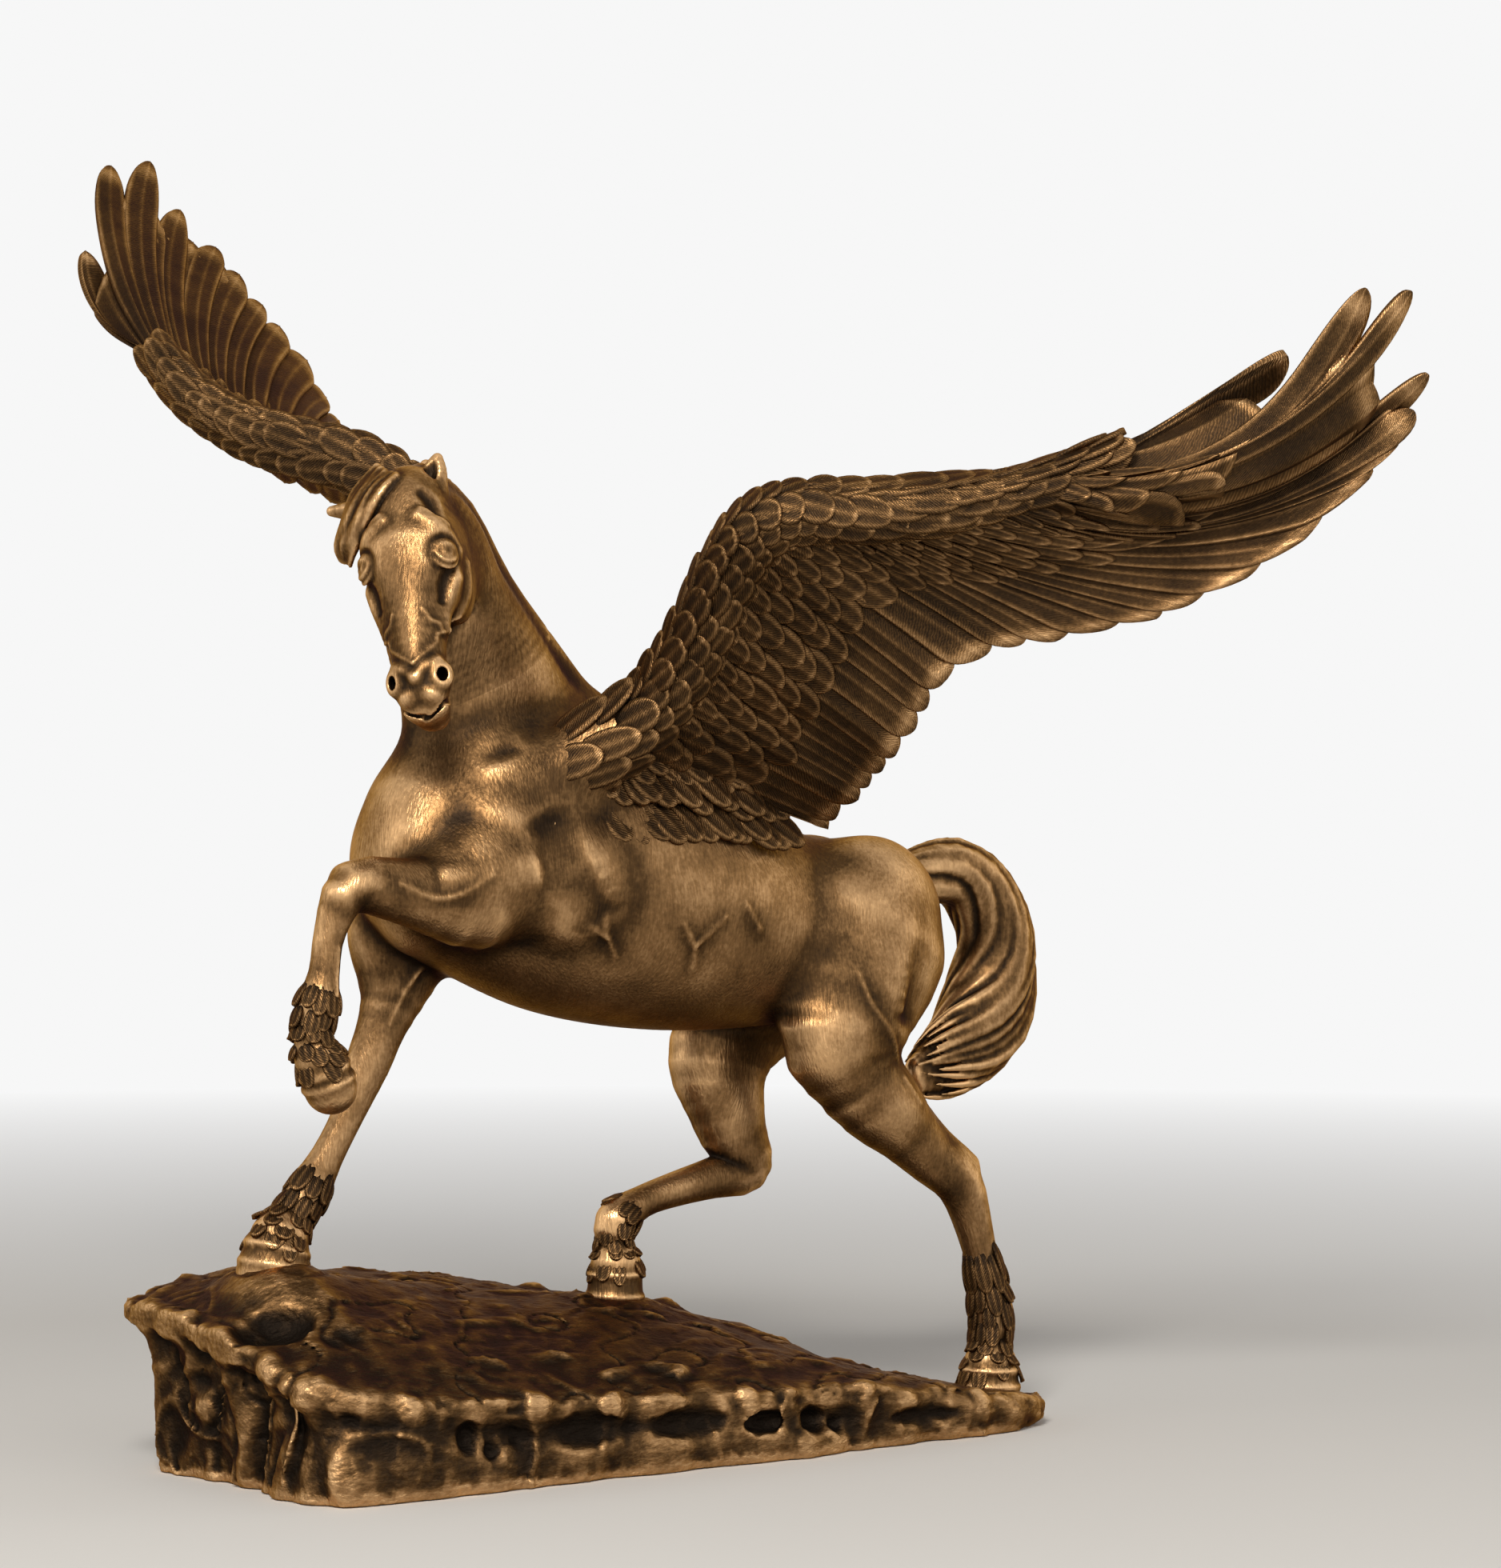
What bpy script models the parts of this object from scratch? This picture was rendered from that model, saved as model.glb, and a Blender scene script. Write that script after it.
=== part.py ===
"""Winged horse figurine on a rocky base, made as one casting.

Frame: metres, +Z up, origin at the centre of the base's flat underside, the horse walking towards -X
with its left side at -Y. Sizes are written in millimetres and turned to metres when a mesh is made.
The horse, the wings and the rock are modelled as overlapping closed forms, fused into one skin.
"""

import math

import bmesh
import bpy
from mathutils import Matrix, Vector, noise

MM = 0.001
LEFT = -1
RIGHT = 1

# Base: outline in plan, and the height of its top along three lines from the front end to the tail end.
BASE_FRONT_X = -120
BASE_TAIL_X = 130
BASE_NEAR_Y = -49
BASE_FAR_Y = 53
BASE_TAIL_FAR_Y = 20
BASE_NARROWS_X = 15
RIDGE_Y = 15
NEAR_EDGE_HEIGHTS = ((-116, 29), (-60, 24), (10, 20), (60, 18), (105, 12), (127, 8))
RIDGE_HEIGHTS = ((-116, 44), (-92, 56), (-50, 46), (20, 38), (60, 28), (95, 14), (127, 8))
FAR_EDGE_HEIGHTS = ((-116, 46), (-88, 50), (-40, 48), (15, 38), (50, 34), (80, 25), (105, 12), (127, 8))
ROCK_ROUGHNESS = 4.5
ROCK_GRAIN = 22
ROCK_TOP_ROUGHNESS = 1.6
BASE_BURIED = 4
# Drips down the rock's front end and near side: place along it, drop as a share of the side, half width.
FRONT_DRIPS = ((38, 0.8, 4), (22, 0.9, 5), (4, 0.7, 4.5), (-16, 0.95, 5), (-36, 0.8, 4.5))
NEAR_DRIPS = (
    (-98, 0.9, 5), (-74, 0.6, 4), (-52, 0.95, 5), (-30, 0.6, 4), (-8, 0.8, 4.5), (18, 0.6, 4),
    (42, 0.9, 5), (66, 0.6, 4), (88, 0.9, 4.5), (110, 0.8, 3.5),
)
# Broken slabs on the top of the rock: centre in plan, half length, half width, turn in degrees.
SLABS = (
    (-96, -8, 15, 10, 30), (-62, -22, 18, 9, -15), (-48, 28, 17, 10, 20), (-20, -2, 20, 9, 12),
    (14, -30, 19, 8, -8), (44, -8, 20, 8, -20), (74, -32, 15, 7, 10), (92, -4, 15, 8, -25),
    (-92, 30, 14, 9, -30), (20, 36, 17, 7, -10),
)
SLAB_RISE = 2.5
SLAB_THICKNESS = 9

# Trunk: the middle of each station along the body, then its half width and half height.
RUMP = (100, 0, 143)
LOIN = (66, 0, 142)
BELLY = (24, 0, 150)
RIBS = (-12, 0, 160)
CHEST = (-50, 0, 166)
TRUNK_SIZES = ((17, 20), (24, 27), (31, 36), (31, 40), (23, 31))

# Neck: from the withers to the poll, bending to the horse's left; half width and half depth.
NECK_ROOT = (-28, 0, 180)
NECK_LOW = (-38, -1, 206)
NECK_MIDDLE = (-51, -4, 228)
NECK_TOP = (-59, -7, 246)
NECK_SIZES = ((19, 34), (14.5, 25), (12, 20), (11, 16))

# Head: the poll, the direction from the poll to the lips, and the direction that the face looks in.
POLL = (-67.1, -11.3, 257.6)
HEAD_LENGTH = 61
NOSE_DIRECTION = (-0.132, -0.331, -0.934)
FACE_DIRECTION = (-0.765, -0.565, 0.308)
# Share of the head's length, set back of the face, half width, half depth.
HEAD_STATIONS = (
    (0.02, 9, 8.5, 10), (0.16, 10, 12, 13), (0.32, 10.5, 13, 15), (0.48, 9.5, 11.4, 13),
    (0.64, 7.5, 8.8, 9.5), (0.80, 6.5, 7.2, 8), (0.93, 6, 7.4, 7.5), (1.0, 6, 6.5, 5.5),
)
# Ears: each one's root and tip, as share of the head, across it and out from the face. The right one lies back.
EARS = (((0.02, -5.6, -10), (-0.18, -7.6, -9)), ((0, 9, -12), (-0.05, 24, -13)))
EAR_WIDTH = 8

# Legs: each joint's centre, then its half width across the body and half depth fore and aft.
RAISED_FORELEG = (
    ((-40, -19, 166), 11, 17), ((-52, -20, 152), 10, 13), ((-72, -20, 154), 8.5, 9.5),
    ((-91, -20, 156), 6.4, 6.8), ((-98, -20, 145), 4.2, 4.4), ((-100, -20, 134), 4, 4.2),
    ((-102, -20, 125), 5.4, 6), ((-104, -20, 117), 4.4, 4.6), ((-101, -20, 112), 6.6, 6.8),
    ((-98, -20, 104), 7.2, 6.4),
)
PLANTED_FORELEG = (
    ((-36, 18, 166), 11, 18), ((-42, 19, 148), 10.5, 14), ((-51, 18, 131), 9, 10.2),
    ((-58, 17, 117), 6.6, 6.8), ((-62.5, 17, 107), 5.8, 6.2), ((-69, 16.5, 94), 4.2, 4.5),
    ((-76, 16, 83), 4, 4.6), ((-82, 16, 74), 5.6, 6.2), ((-88, 16, 67), 4.8, 5),
    ((-92, 16, 62), 8.6, 9), ((-93, 16, 53), 9.6, 10.2),
)
STEPPING_HINDLEG = (
    ((76, 15, 135), 13, 26), ((62, 18, 112), 11, 18), ((58, 17, 98), 9, 13.5),
    ((61, 16, 84), 7.5, 10.5), ((66, 16, 73), 6, 7.6), ((54, 15.5, 70.5), 4.8, 6),
    ((40, 15, 68), 4.4, 5), ((28, 15, 65), 4.4, 4.6), ((19, 15, 60), 5.6, 6),
    ((19, 15, 53), 4.6, 4.8), ((20, 15, 47), 7.6, 8), ((19, 15, 36), 7.4, 7.8),
)
TRAILING_HINDLEG = (
    ((84, -15, 140), 14, 28), ((74, -19, 116), 12, 21), ((80, -19, 99), 9.5, 14.5),
    ((95, -18, 86), 7.8, 10.5), ((107, -17, 76), 6.2, 8), ((118, -17, 68), 5.8, 7.4),
    ((124, -17, 54), 4.6, 5.8), ((128, -17, 40), 4.2, 5), ((131, -17, 29), 5.4, 7),
    ((130, -17, 20), 4.8, 5.6), ((130.5, -17, 14), 7.6, 8.6), ((130, -17, 6), 8.4, 9.4),
)

# Tufts behind the fetlocks: where they grow from, and their reach.
FETLOCK_TUFTS = (
    ((-100, -20, 126), (3, 0, -11)), ((-80, 16, 74), (1, 0, -12)), ((22, 15, 60), (3, 0, -11)),
    ((133, -17, 31), (3, 0, -13)),
)

# Muscle masses: centre, three radii, and turn about the Y axis in degrees.
MASSES = (
    ((-32, -14, 168), (16, 11, 27), -25), ((-32, 14, 168), (16, 11, 27), -25),
    ((86, -14, 143), (24, 15, 25), 20), ((86, 14, 143), (24, 15, 25), 20),
    ((-60, -8, 162), (11, 11, 15), 0), ((-60, 8, 162), (11, 11, 15), 0),
    ((4, 0, 192), (26, 9, 13), 30),
)

# Tail: centre line with half width and half depth, from the dock to the swept tip.
TAIL = (
    ((100, 0, 151), 7, 7), ((116, 0, 155.5), 7.5, 8), ((134, 1, 156), 9, 10), ((147, 2, 142), 10, 12),
    ((148, 2, 125), 10.5, 14), ((139, 1, 110), 10, 15), ((124, -1, 101), 8, 12), ((114, -3, 98), 5, 8),
)
TAIL_LOCKS = 6
TAIL_TWIST = 200
CREST = (
    ((-60, -6, 264), 4, 4), ((-46, -2, 255), 4.5, 5), ((-32, 1, 236), 5, 5.5), ((-17, 2, 219), 5, 6),
    ((-3, 2, 205), 4.5, 5),
)
# Locks of the mane on the horse's right: share of the crest where each begins, how far down it hangs.
MANE_LOCKS = ((0.06, 20), (0.2, 28), (0.36, 30), (0.52, 30), (0.68, 26), (0.84, 20))
LOCK_HALF_WIDTH = 6.5
LOCK_HALF_THICKNESS = 3
# Forelock: each lock's points as share of the head, across it and out from the face.
FORELOCK = (
    ((-0.05, 0.5, -1), (0.03, 5, 0), (0.11, 10, -1), (0.19, 14, -5), (0.25, 17.5, -9)),
    ((-0.1, 4.5, -4), (-0.02, 9.5, -3), (0.08, 13.5, -3), (0.17, 17.5, -6), (0.23, 19.5, -10)),
    ((-0.16, 8.5, -8), (-0.07, 13.5, -7), (0.05, 16.5, -6), (0.15, 20, -8), (0.21, 21, -11)),
)
# Masses of the face: share of the head, across it, out from the face, and three radii.
FACE_MASSES = (
    (0.30, 10.5, -5.5, 6.5, 4.5, 4.5), (0.24, 9.5, -3, 8, 3, 3), (0.36, 8.5, -17, 13, 5, 9),
    (0.87, 4.4, -3.5, 4.5, 3, 3.6), (0.97, 0, -12, 4, 5, 3.5),
)

# Tufts over the wings' roots on the horse's left; the right side has the same mirrored.
TUFT_TIPS = (
    (-38, -21, 176), (-29, -26, 169), (-17, -29, 166), (-4, -30, 166), (9, -31, 166), (22, -30, 167),
    (35, -28, 166), (48, -27, 164), (-33, -20, 186), (-22, -26, 178), (-8, -29, 176), (6, -29, 176),
)
TUFT_REACH = (-11, 6, 13)
TUFT_WIDTH = 13
WING_SEAT = (((-22, -17, 180), 8, 8), ((5, -21, 177), 8, 7), ((32, -21, 173), 7, 6), ((56, -21, 166), 5, 4))

# Wings: the middle of the arm from shoulder to finger with its radius, and each flight feather's tip.
LEFT_ARM = (
    (-28, -16, 184), (-9, -33, 199), (-4, -42, 211), (-3, -53, 224), (-4, -65, 239), (-4, -77, 249),
    (1, -84, 254), (9, -89, 254), (21, -97, 254), (39, -106, 256), (52, -112, 259), (66, -120, 264),
    (79, -128, 271), (91, -134, 277), (103, -140, 285), (112, -145, 291),
)
LEFT_TIPS = (
    (61, -28, 171), (59, -34, 174), (58, -45, 179), (57, -51, 183), (56, -58, 187), (54, -66, 191),
    (55, -73, 198), (55, -78, 204), (56, -83, 210), (65, -89, 217), (72, -95, 220), (79, -102, 221),
    (90, -110, 224), (101, -118, 227), (108, -124, 231), (119, -134, 238), (129, -146, 248),
    (142, -157, 264), (148, -162, 273), (150, -166, 282), (153, -168, 292), (142, -172, 313),
    (130, -168, 313), (120, -148, 297),
)
LEFT_BEND = (0.05, 0, -0.22)
RIGHT_ARM = (
    (-28, 16, 184), (-22, 30, 200), (-18, 40, 217), (-17, 48, 233), (-18, 55, 249), (-20, 60, 262),
    (-25, 66, 271), (-34, 78, 276), (-42, 90, 279), (-49, 100, 283), (-54, 109, 288), (-60, 120, 297),
    (-61, 132, 308), (-61, 143, 319), (-60, 155, 328), (-59, 165, 335),
)
RIGHT_TIPS = (
    (58, 20, 168), (56, 31, 174), (53, 43, 183), (49, 55, 193), (45, 66, 203), (40, 76, 212),
    (35, 85, 222), (29, 93, 232), (23, 101, 242), (16, 107, 252), (9, 112, 262), (3, 116, 271),
    (-2, 118, 280), (-6, 120, 289), (-2, 133, 297), (-1, 145, 309), (-3, 157, 320), (-4, 165, 327),
    (-6, 175, 337), (-9, 184, 346), (-15, 195, 358), (-18, 208, 374), (-33, 205, 371), (-58, 178, 341),
)
RIGHT_BEND = (-0.12, 0.10, -0.12)
ARM_RADII = (11, 9, 8.5, 8, 8, 8, 7.5, 7, 6.5, 5.5, 5, 4.3, 3.8, 3.2, 2.6, 2)
# Where each flight feather leaves the arm: feather number, share of the arm's length.
FEATHER_ROOTS = ((0, 0.03), (12, 0.46), (22, 0.74), (23, 0.8))
# How strongly a feather follows its wing's bend, by feather number.
BEND_SHARES = ((0, 0.1), (11, 0.2), (17, 1), (23, 1))
CAMBER = 0.07
FEATHER_HALF_WIDTH = 0.62
FEATHER_THICKNESS = 2.8
FEATHER_TILT = 0.9
SHAFT_RIDGE = 0.7
# Rows of coverts: how many, and how far down the wing they reach near the body and near the tip.
COVERT_ROWS = ((17, 0.60, 0.42), (15, 0.40, 0.28), (13, 0.22, 0.18))
COVERED_FEATHERS = 21
COVERT_LIFT = 1.3
# Small feathers under the right wing's wrist: where each leaves the arm, and its tip.
UNDER_FEATHERS = (
    (0.38, (-12, 84, 257)), (0.43, (-16, 92, 261)), (0.49, (-20, 100, 265)), (0.54, (-23, 106, 268)),
    (0.59, (-28, 112, 271)), (0.63, (-33, 118, 276)), (0.67, (-41, 126, 283)),
)
UNDER_WIDTH = 15

# Skin: spacing of the fused skin, rounds of smoothing, and the most triangles it keeps.
SKIN_VOXEL = 1.0
SKIN_SMOOTHING = 3
SKIN_TRIANGLES = 11000

BRONZE = (0.30, 0.19, 0.09, 1)
BRONZE_ROUGHNESS = 0.42
BRONZE_METALLIC = 0.85


def along(points, share):
    """A point on the smooth curve through points, share going from 0 at the first to 1 at the last."""
    last = len(points) - 1
    place = min(max(share, 0), 1) * last
    index = min(int(place), last - 1)
    part = place - index
    before, start, end, after = (
        Vector(points[min(max(index + step, 0), last)]) for step in (-1, 0, 1, 2)
    )
    bend = (2 * before - 5 * start + 4 * end - after) * part
    twist = (3 * start - 3 * end + after - before) * part * part
    return start + (end - before + bend + twist) * part / 2


def height_at(profile, x):
    """The height at x on a line given as (x, height) corners."""
    if x <= profile[0][0]:
        return profile[0][1]
    for (x0, low), (x1, high) in zip(profile, profile[1:]):
        if x <= x1:
            return low + (high - low) * (x - x0) / (x1 - x0)
    return profile[-1][1]


def far_edge(x):
    """The base's far side in plan, drawn in towards the tail."""
    share = max(0, (x - BASE_NARROWS_X) / (BASE_TAIL_X - BASE_NARROWS_X))
    return BASE_FAR_Y + (BASE_TAIL_FAR_Y - BASE_FAR_Y) * share


def ground(x, y):
    """Height of the rock's top at a point of the plan."""
    ridge = height_at(RIDGE_HEIGHTS, x)
    if y < RIDGE_Y:
        share = min(1, (RIDGE_Y - y) / (RIDGE_Y - BASE_NEAR_Y))
        return ridge + (height_at(NEAR_EDGE_HEIGHTS, x) - ridge) * share ** 1.4
    share = min(1, (y - RIDGE_Y) / (far_edge(x) - RIDGE_Y))
    return ridge + (height_at(FAR_EDGE_HEIGHTS, x) - ridge) * share


def add_rings(form, rings):
    """Joins rings of points into one closed tube, with a fan over each end."""
    rows = [[form.verts.new(point * MM) for point in ring] for ring in rings]
    count = len(rings[0])
    for row, following in zip(rows, rows[1:]):
        for i in range(count):
            j = (i + 1) % count
            form.faces.new((row[i], row[j], following[j], following[i]))
    for row, ring in ((rows[0], rings[0]), (rows[-1], rings[-1])):
        tip = form.verts.new(sum(ring, Vector()) / count * MM)
        for i in range(count):
            form.faces.new((tip, row[i], row[(i + 1) % count]))


def add_limb(form, stations, across=Vector((0, 1, 0)), steps=3, sides=14):
    """A tube of oval section through (centre, half width, half depth) stations, with rounded ends."""
    centres = [station[0] for station in stations]
    sizes = [(station[1], station[2], 0) for station in stations]
    count = (len(stations) - 1) * steps
    samples = [(i / count, 1) for i in range(count + 1)]
    samples = [(0, 0.45), (0, 0.85), *samples[1:-1], (1, 0.85), (1, 0.45)]
    swell = {0: (1, 0.5), 1: (0.6, 0), -2: (0.6, 0), -1: (1, 0.5)}
    rings = []
    for place, (share, scale) in enumerate(samples):
        centre = along(centres, share)
        tangent = (along(centres, share + 0.01) - along(centres, share - 0.01)).normalized()
        side = (across - tangent * across.dot(tangent)).normalized()
        depth = tangent.cross(side)
        width, thick, _ = along(sizes, share)
        end = -1 if place < 2 else 1 if place >= len(samples) - 2 else 0
        key = place if place < 2 else place - len(samples)
        centre += tangent * end * thick * swell.get(key, (0, 0))[1]
        turns = [2 * math.pi * i / sides for i in range(sides)]
        rings.append([
            centre + side * width * scale * math.cos(a) + depth * thick * scale * math.sin(a) for a in turns
        ])
    add_rings(form, rings)


def add_mass(form, centre, radii, turn=0):
    """An ellipsoid of muscle, turned about the Y axis."""
    place = Matrix.Translation(Vector(centre) * MM) @ Matrix.Rotation(math.radians(turn), 4, "Y")
    size = Matrix.Diagonal((*(radius * MM for radius in radii), 1))
    bmesh.ops.create_uvsphere(form, u_segments=20, v_segments=12, radius=1, matrix=place @ size)


def add_feather(form, root, tip, normal, width, thickness, bow=0):
    """A flat blade from root to tip with near parallel sides and a round end, bowed along its normal."""
    length = (tip - root).length
    direction = (tip - root).normalized()
    side = direction.cross(normal).normalized()
    normal = side.cross(direction)
    made = bmesh.ops.create_uvsphere(form, u_segments=12, v_segments=10, radius=1)
    for vert in made["verts"]:
        reach = vert.co.z
        edge = max(0, 1 - abs(reach) ** 3) ** 0.5 / max(1e-6, max(0, 1 - reach * reach) ** 0.5)
        place = root + direction * length * (reach + 1) / 2
        place += side * vert.co.x * edge * width / 2
        place += normal * (vert.co.y * thickness / 2 + bow * length * (1 - reach * reach))
        vert.co = place * MM


def build_base(form):
    """The rock: a block cut into a grid, its corners rounded in plan and its top laid to the ground."""
    bmesh.ops.create_cube(form, size=2)
    bmesh.ops.subdivide_edges(form, edges=form.edges[:], cuts=15, use_grid_fill=True)
    middle_x = (BASE_FRONT_X + BASE_TAIL_X) / 2
    half_x = (BASE_TAIL_X - BASE_FRONT_X) / 2
    for vert in form.verts[:]:
        u, v, w = vert.co
        reach = max(abs(u), abs(v))
        rounded = reach / max(1e-6, (u ** 8 + v ** 8) ** 0.125)
        u, v = u * rounded, v * rounded
        x = middle_x + half_x * u
        y = BASE_NEAR_Y + (far_edge(x) - BASE_NEAR_Y) * (v + 1) / 2
        z = -BASE_BURIED + (ground(x, y) + BASE_BURIED) * (w + 1) / 2
        rough = noise.noise_vector(Vector((x, y, z)) / ROCK_GRAIN)
        x += rough.x * ROCK_ROUGHNESS * reach ** 4
        y += rough.y * ROCK_ROUGHNESS * reach ** 4
        vert.co = Vector((x, y, z + rough.z * ROCK_TOP_ROUGHNESS * max(w, 0))) * MM
    drips = [(BASE_FRONT_X + 1, y, *rest) for y, *rest in FRONT_DRIPS]
    drips += [(x, BASE_NEAR_Y + 1, *rest) for x, *rest in NEAR_DRIPS]
    for x, y, drop, width in drips:
        rim = ground(x, y) - 3
        drip = (
            ((x * 0.96, y * 0.92, rim), width * 1.2, width), ((x, y, rim * (1 - drop * 0.4)), width, width),
            ((x, y, rim * (1 - drop)), width * 0.6, width * 0.6),
        )
        add_limb(form, drip, steps=2, sides=8)
    for x, y, length, width, turn in SLABS:
        place = Matrix.Translation(Vector((x, y, ground(x, y) + SLAB_RISE - SLAB_THICKNESS / 2)) * MM)
        tilt = Matrix.Rotation(math.radians(turn), 4, "Z") @ Matrix.Rotation(math.radians(turn / 4), 4, "X")
        size = Matrix.Diagonal((length * MM, width * MM, SLAB_THICKNESS / 2 * MM, 1))
        bmesh.ops.create_icosphere(form, subdivisions=2, radius=1, matrix=place @ tilt @ size)


def build_trunk(form):
    """Barrel, shoulders, haunches, breast and withers."""
    stations = [
        (centre, *sizes) for centre, sizes in zip((RUMP, LOIN, BELLY, RIBS, CHEST), TRUNK_SIZES)
    ]
    add_limb(form, stations, steps=4, sides=22)
    for centre, radii, turn in MASSES:
        add_mass(form, centre, radii, turn)


def head_axes():
    """The head's three directions: down the nose, across to the horse's right, and out of the face."""
    nose = Vector(NOSE_DIRECTION).normalized()
    face = Vector(FACE_DIRECTION)
    face = (face - nose * face.dot(nose)).normalized()
    return nose, nose.cross(face), face


def head_point(share, across, out):
    """A point given by its share of the head's length, across it, and out from the face."""
    nose, side, face = head_axes()
    return Vector(POLL) + nose * share * HEAD_LENGTH + side * across + face * (out + 9)


def build_neck_and_head(form):
    """Neck, crest and skull, with the jaw, brows, nostrils, ears and forelock on the skull."""
    nose, side, face = head_axes()
    centres = (NECK_ROOT, NECK_LOW, NECK_MIDDLE, NECK_TOP)
    neck = [(centre, *sizes) for centre, sizes in zip(centres, NECK_SIZES)]
    neck.append((Vector(POLL) - face * 4, 9.5, 11.5))
    add_limb(form, neck, steps=4, sides=18)
    head = [(head_point(share, 0, -back), width, depth) for share, back, width, depth in HEAD_STATIONS]
    add_limb(form, head, across=side, steps=3, sides=16)
    turn = Matrix((nose, side, face)).transposed().to_4x4()
    for share, across, out, *radii in FACE_MASSES:
        for hand in (LEFT, RIGHT):
            place = Matrix.Translation(head_point(share, across * hand, out) * MM)
            size = Matrix.Diagonal((*(radius * MM for radius in radii), 1))
            bmesh.ops.create_uvsphere(form, u_segments=12, v_segments=8, radius=1, matrix=place @ turn @ size)
    for root, tip in EARS:
        add_feather(form, head_point(*root), head_point(*tip), face, EAR_WIDTH, EAR_WIDTH * 0.6)
    for lock in FORELOCK:
        stations = [(head_point(*point), 2.4, 2) for point in lock]
        add_limb(form, stations, across=side, steps=3, sides=8)


def build_mane(form):
    """The crest's ridge, and flat locks hanging from it down the right of the neck."""
    add_limb(form, CREST, steps=3, sides=10)
    ridge = [station[0] for station in CREST]
    for share, drop in MANE_LOCKS:
        root = along(ridge, share)
        middle = root + Vector((-0.12 * drop, 9, -0.45 * drop))
        tip = root + Vector((0.1 * drop, 13, -drop))
        half = LOCK_HALF_WIDTH
        lock = ((root, half, 4), (middle, half, LOCK_HALF_THICKNESS), (tip, half * 0.5, 1.5))
        add_limb(form, lock, across=Vector((1, 0, 0)), steps=3, sides=10)


def build_tail(form):
    """A core with locks twisting round it."""
    add_limb(form, [(centre, width * 0.8, depth * 0.8) for centre, width, depth in TAIL], sides=14)
    centres = [station[0] for station in TAIL]
    sizes = [(station[1], station[2], 0) for station in TAIL]
    for i in range(TAIL_LOCKS):
        lock = []
        for step in range(10):
            share = step / 9
            tangent = (along(centres, share + 0.02) - along(centres, share - 0.02)).normalized()
            across = Vector((0, 1, 0))
            depth = tangent.cross(across)
            turn = math.radians(360 * i / TAIL_LOCKS + TAIL_TWIST * share)
            width, thick, _ = along(sizes, share)
            centre = along(centres, share) + across * width * 0.62 * math.cos(turn)
            centre += depth * thick * 0.62 * math.sin(turn)
            lock.append((centre, width * 0.42, thick * 0.4))
        add_limb(form, lock, steps=2, sides=8)


def build_tufts(form):
    """Short feathers spreading from the wings' roots over the shoulders, with the seat of each wing."""
    for hand in (LEFT, RIGHT):
        flip = Vector((1, -hand, 1))
        seat = [(Vector(centre) * flip, width, depth) for centre, width, depth in WING_SEAT]
        add_limb(form, seat, steps=3, sides=10)
        for tip in TUFT_TIPS:
            end = Vector(tip) * flip
            root = (Vector(tip) + Vector(TUFT_REACH)) * flip
            outward = Vector((0, hand, 0.6)).normalized()
            add_feather(form, root, end, outward, TUFT_WIDTH, 4)


def build_legs(form):
    """Four legs, each one tube from the body down to its hoof, with a tuft behind each fetlock."""
    for leg in (RAISED_FORELEG, PLANTED_FORELEG, STEPPING_HINDLEG, TRAILING_HINDLEG):
        add_limb(form, leg, steps=3)
    for centre, reach in FETLOCK_TUFTS:
        for lean in (-4, 0, 4):
            root = Vector(centre) + Vector((0, lean, 0))
            add_feather(form, root, root + Vector(reach), Vector((1, 0, 0.4)), 5.5, 4)


def wing_point(wing, place, reach):
    """A point of a wing's middle surface: place counts feathers, reach runs from the arm to the tips."""
    arm, tips, bend, up = wing
    root = along(arm, height_at(FEATHER_ROOTS, place))
    tip = along(tips, place / (len(tips) - 1))
    if place > len(tips) - 1:
        tip += (tip - along(tips, 1 - 0.5 / (len(tips) - 1))) * (place - len(tips) + 1) * 2
    chord = tip - root
    span = along(arm, height_at(FEATHER_ROOTS, place) + 0.1) - along(arm, height_at(FEATHER_ROOTS, place) - 0.1)
    crown = span.cross(chord).normalized() * up * CAMBER * 4
    middle = (root + tip) / 2 + (Vector(bend) * height_at(BEND_SHARES, place) + crown / 2) * chord.length
    return root * (1 - reach) ** 2 + middle * 2 * reach * (1 - reach) + tip * reach ** 2


def wing_normal(wing, place, reach):
    """The direction of the wing's upper side at a point of its middle surface."""
    last = len(wing[1]) - 1
    low, high = max(0, place - 0.8), min(last, place + 0.8)
    span = wing_point(wing, high, reach + 0.02) - wing_point(wing, low, reach + 0.02)
    chord = wing_point(wing, place, min(1, reach + 0.1)) - wing_point(wing, place, max(0, reach - 0.1))
    return span.cross(chord).normalized() * wing[3]


def add_wing_feather(form, wing, place, half_width, start, end, lift, finger=0.1):
    """One feather lying along the wing's surface, tilted so that it overlaps its neighbour."""
    last = len(wing[1]) - 1
    rings = []
    steps = 9
    for i in range(steps + 1):
        share = math.sin(math.pi / 2 * i / steps)
        reach = start + (end - start) * share
        narrow = max(0, (share - 1 + finger) / finger)
        width = half_width * math.sqrt(max(0.02, 1 - narrow ** 2))
        ring = []
        for side, us in ((1, (-1, -0.5, 0, 0.5, 1)), (-1, (1, 0.5, 0, -0.5, -1))):
            for u in us:
                across = min(place + u * width, last + 0.35)
                point = wing_point(wing, across, reach)
                rise = lift + u * FEATHER_TILT + side * FEATHER_THICKNESS / 2 * (1 - 0.5 * abs(u) ** 3)
                rise += side * SHAFT_RIDGE * max(0, 1 - 3 * abs(u))
                ring.append(point + wing_normal(wing, min(across, last), reach) * rise)
        rings.append(ring)
    add_rings(form, rings)


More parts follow.
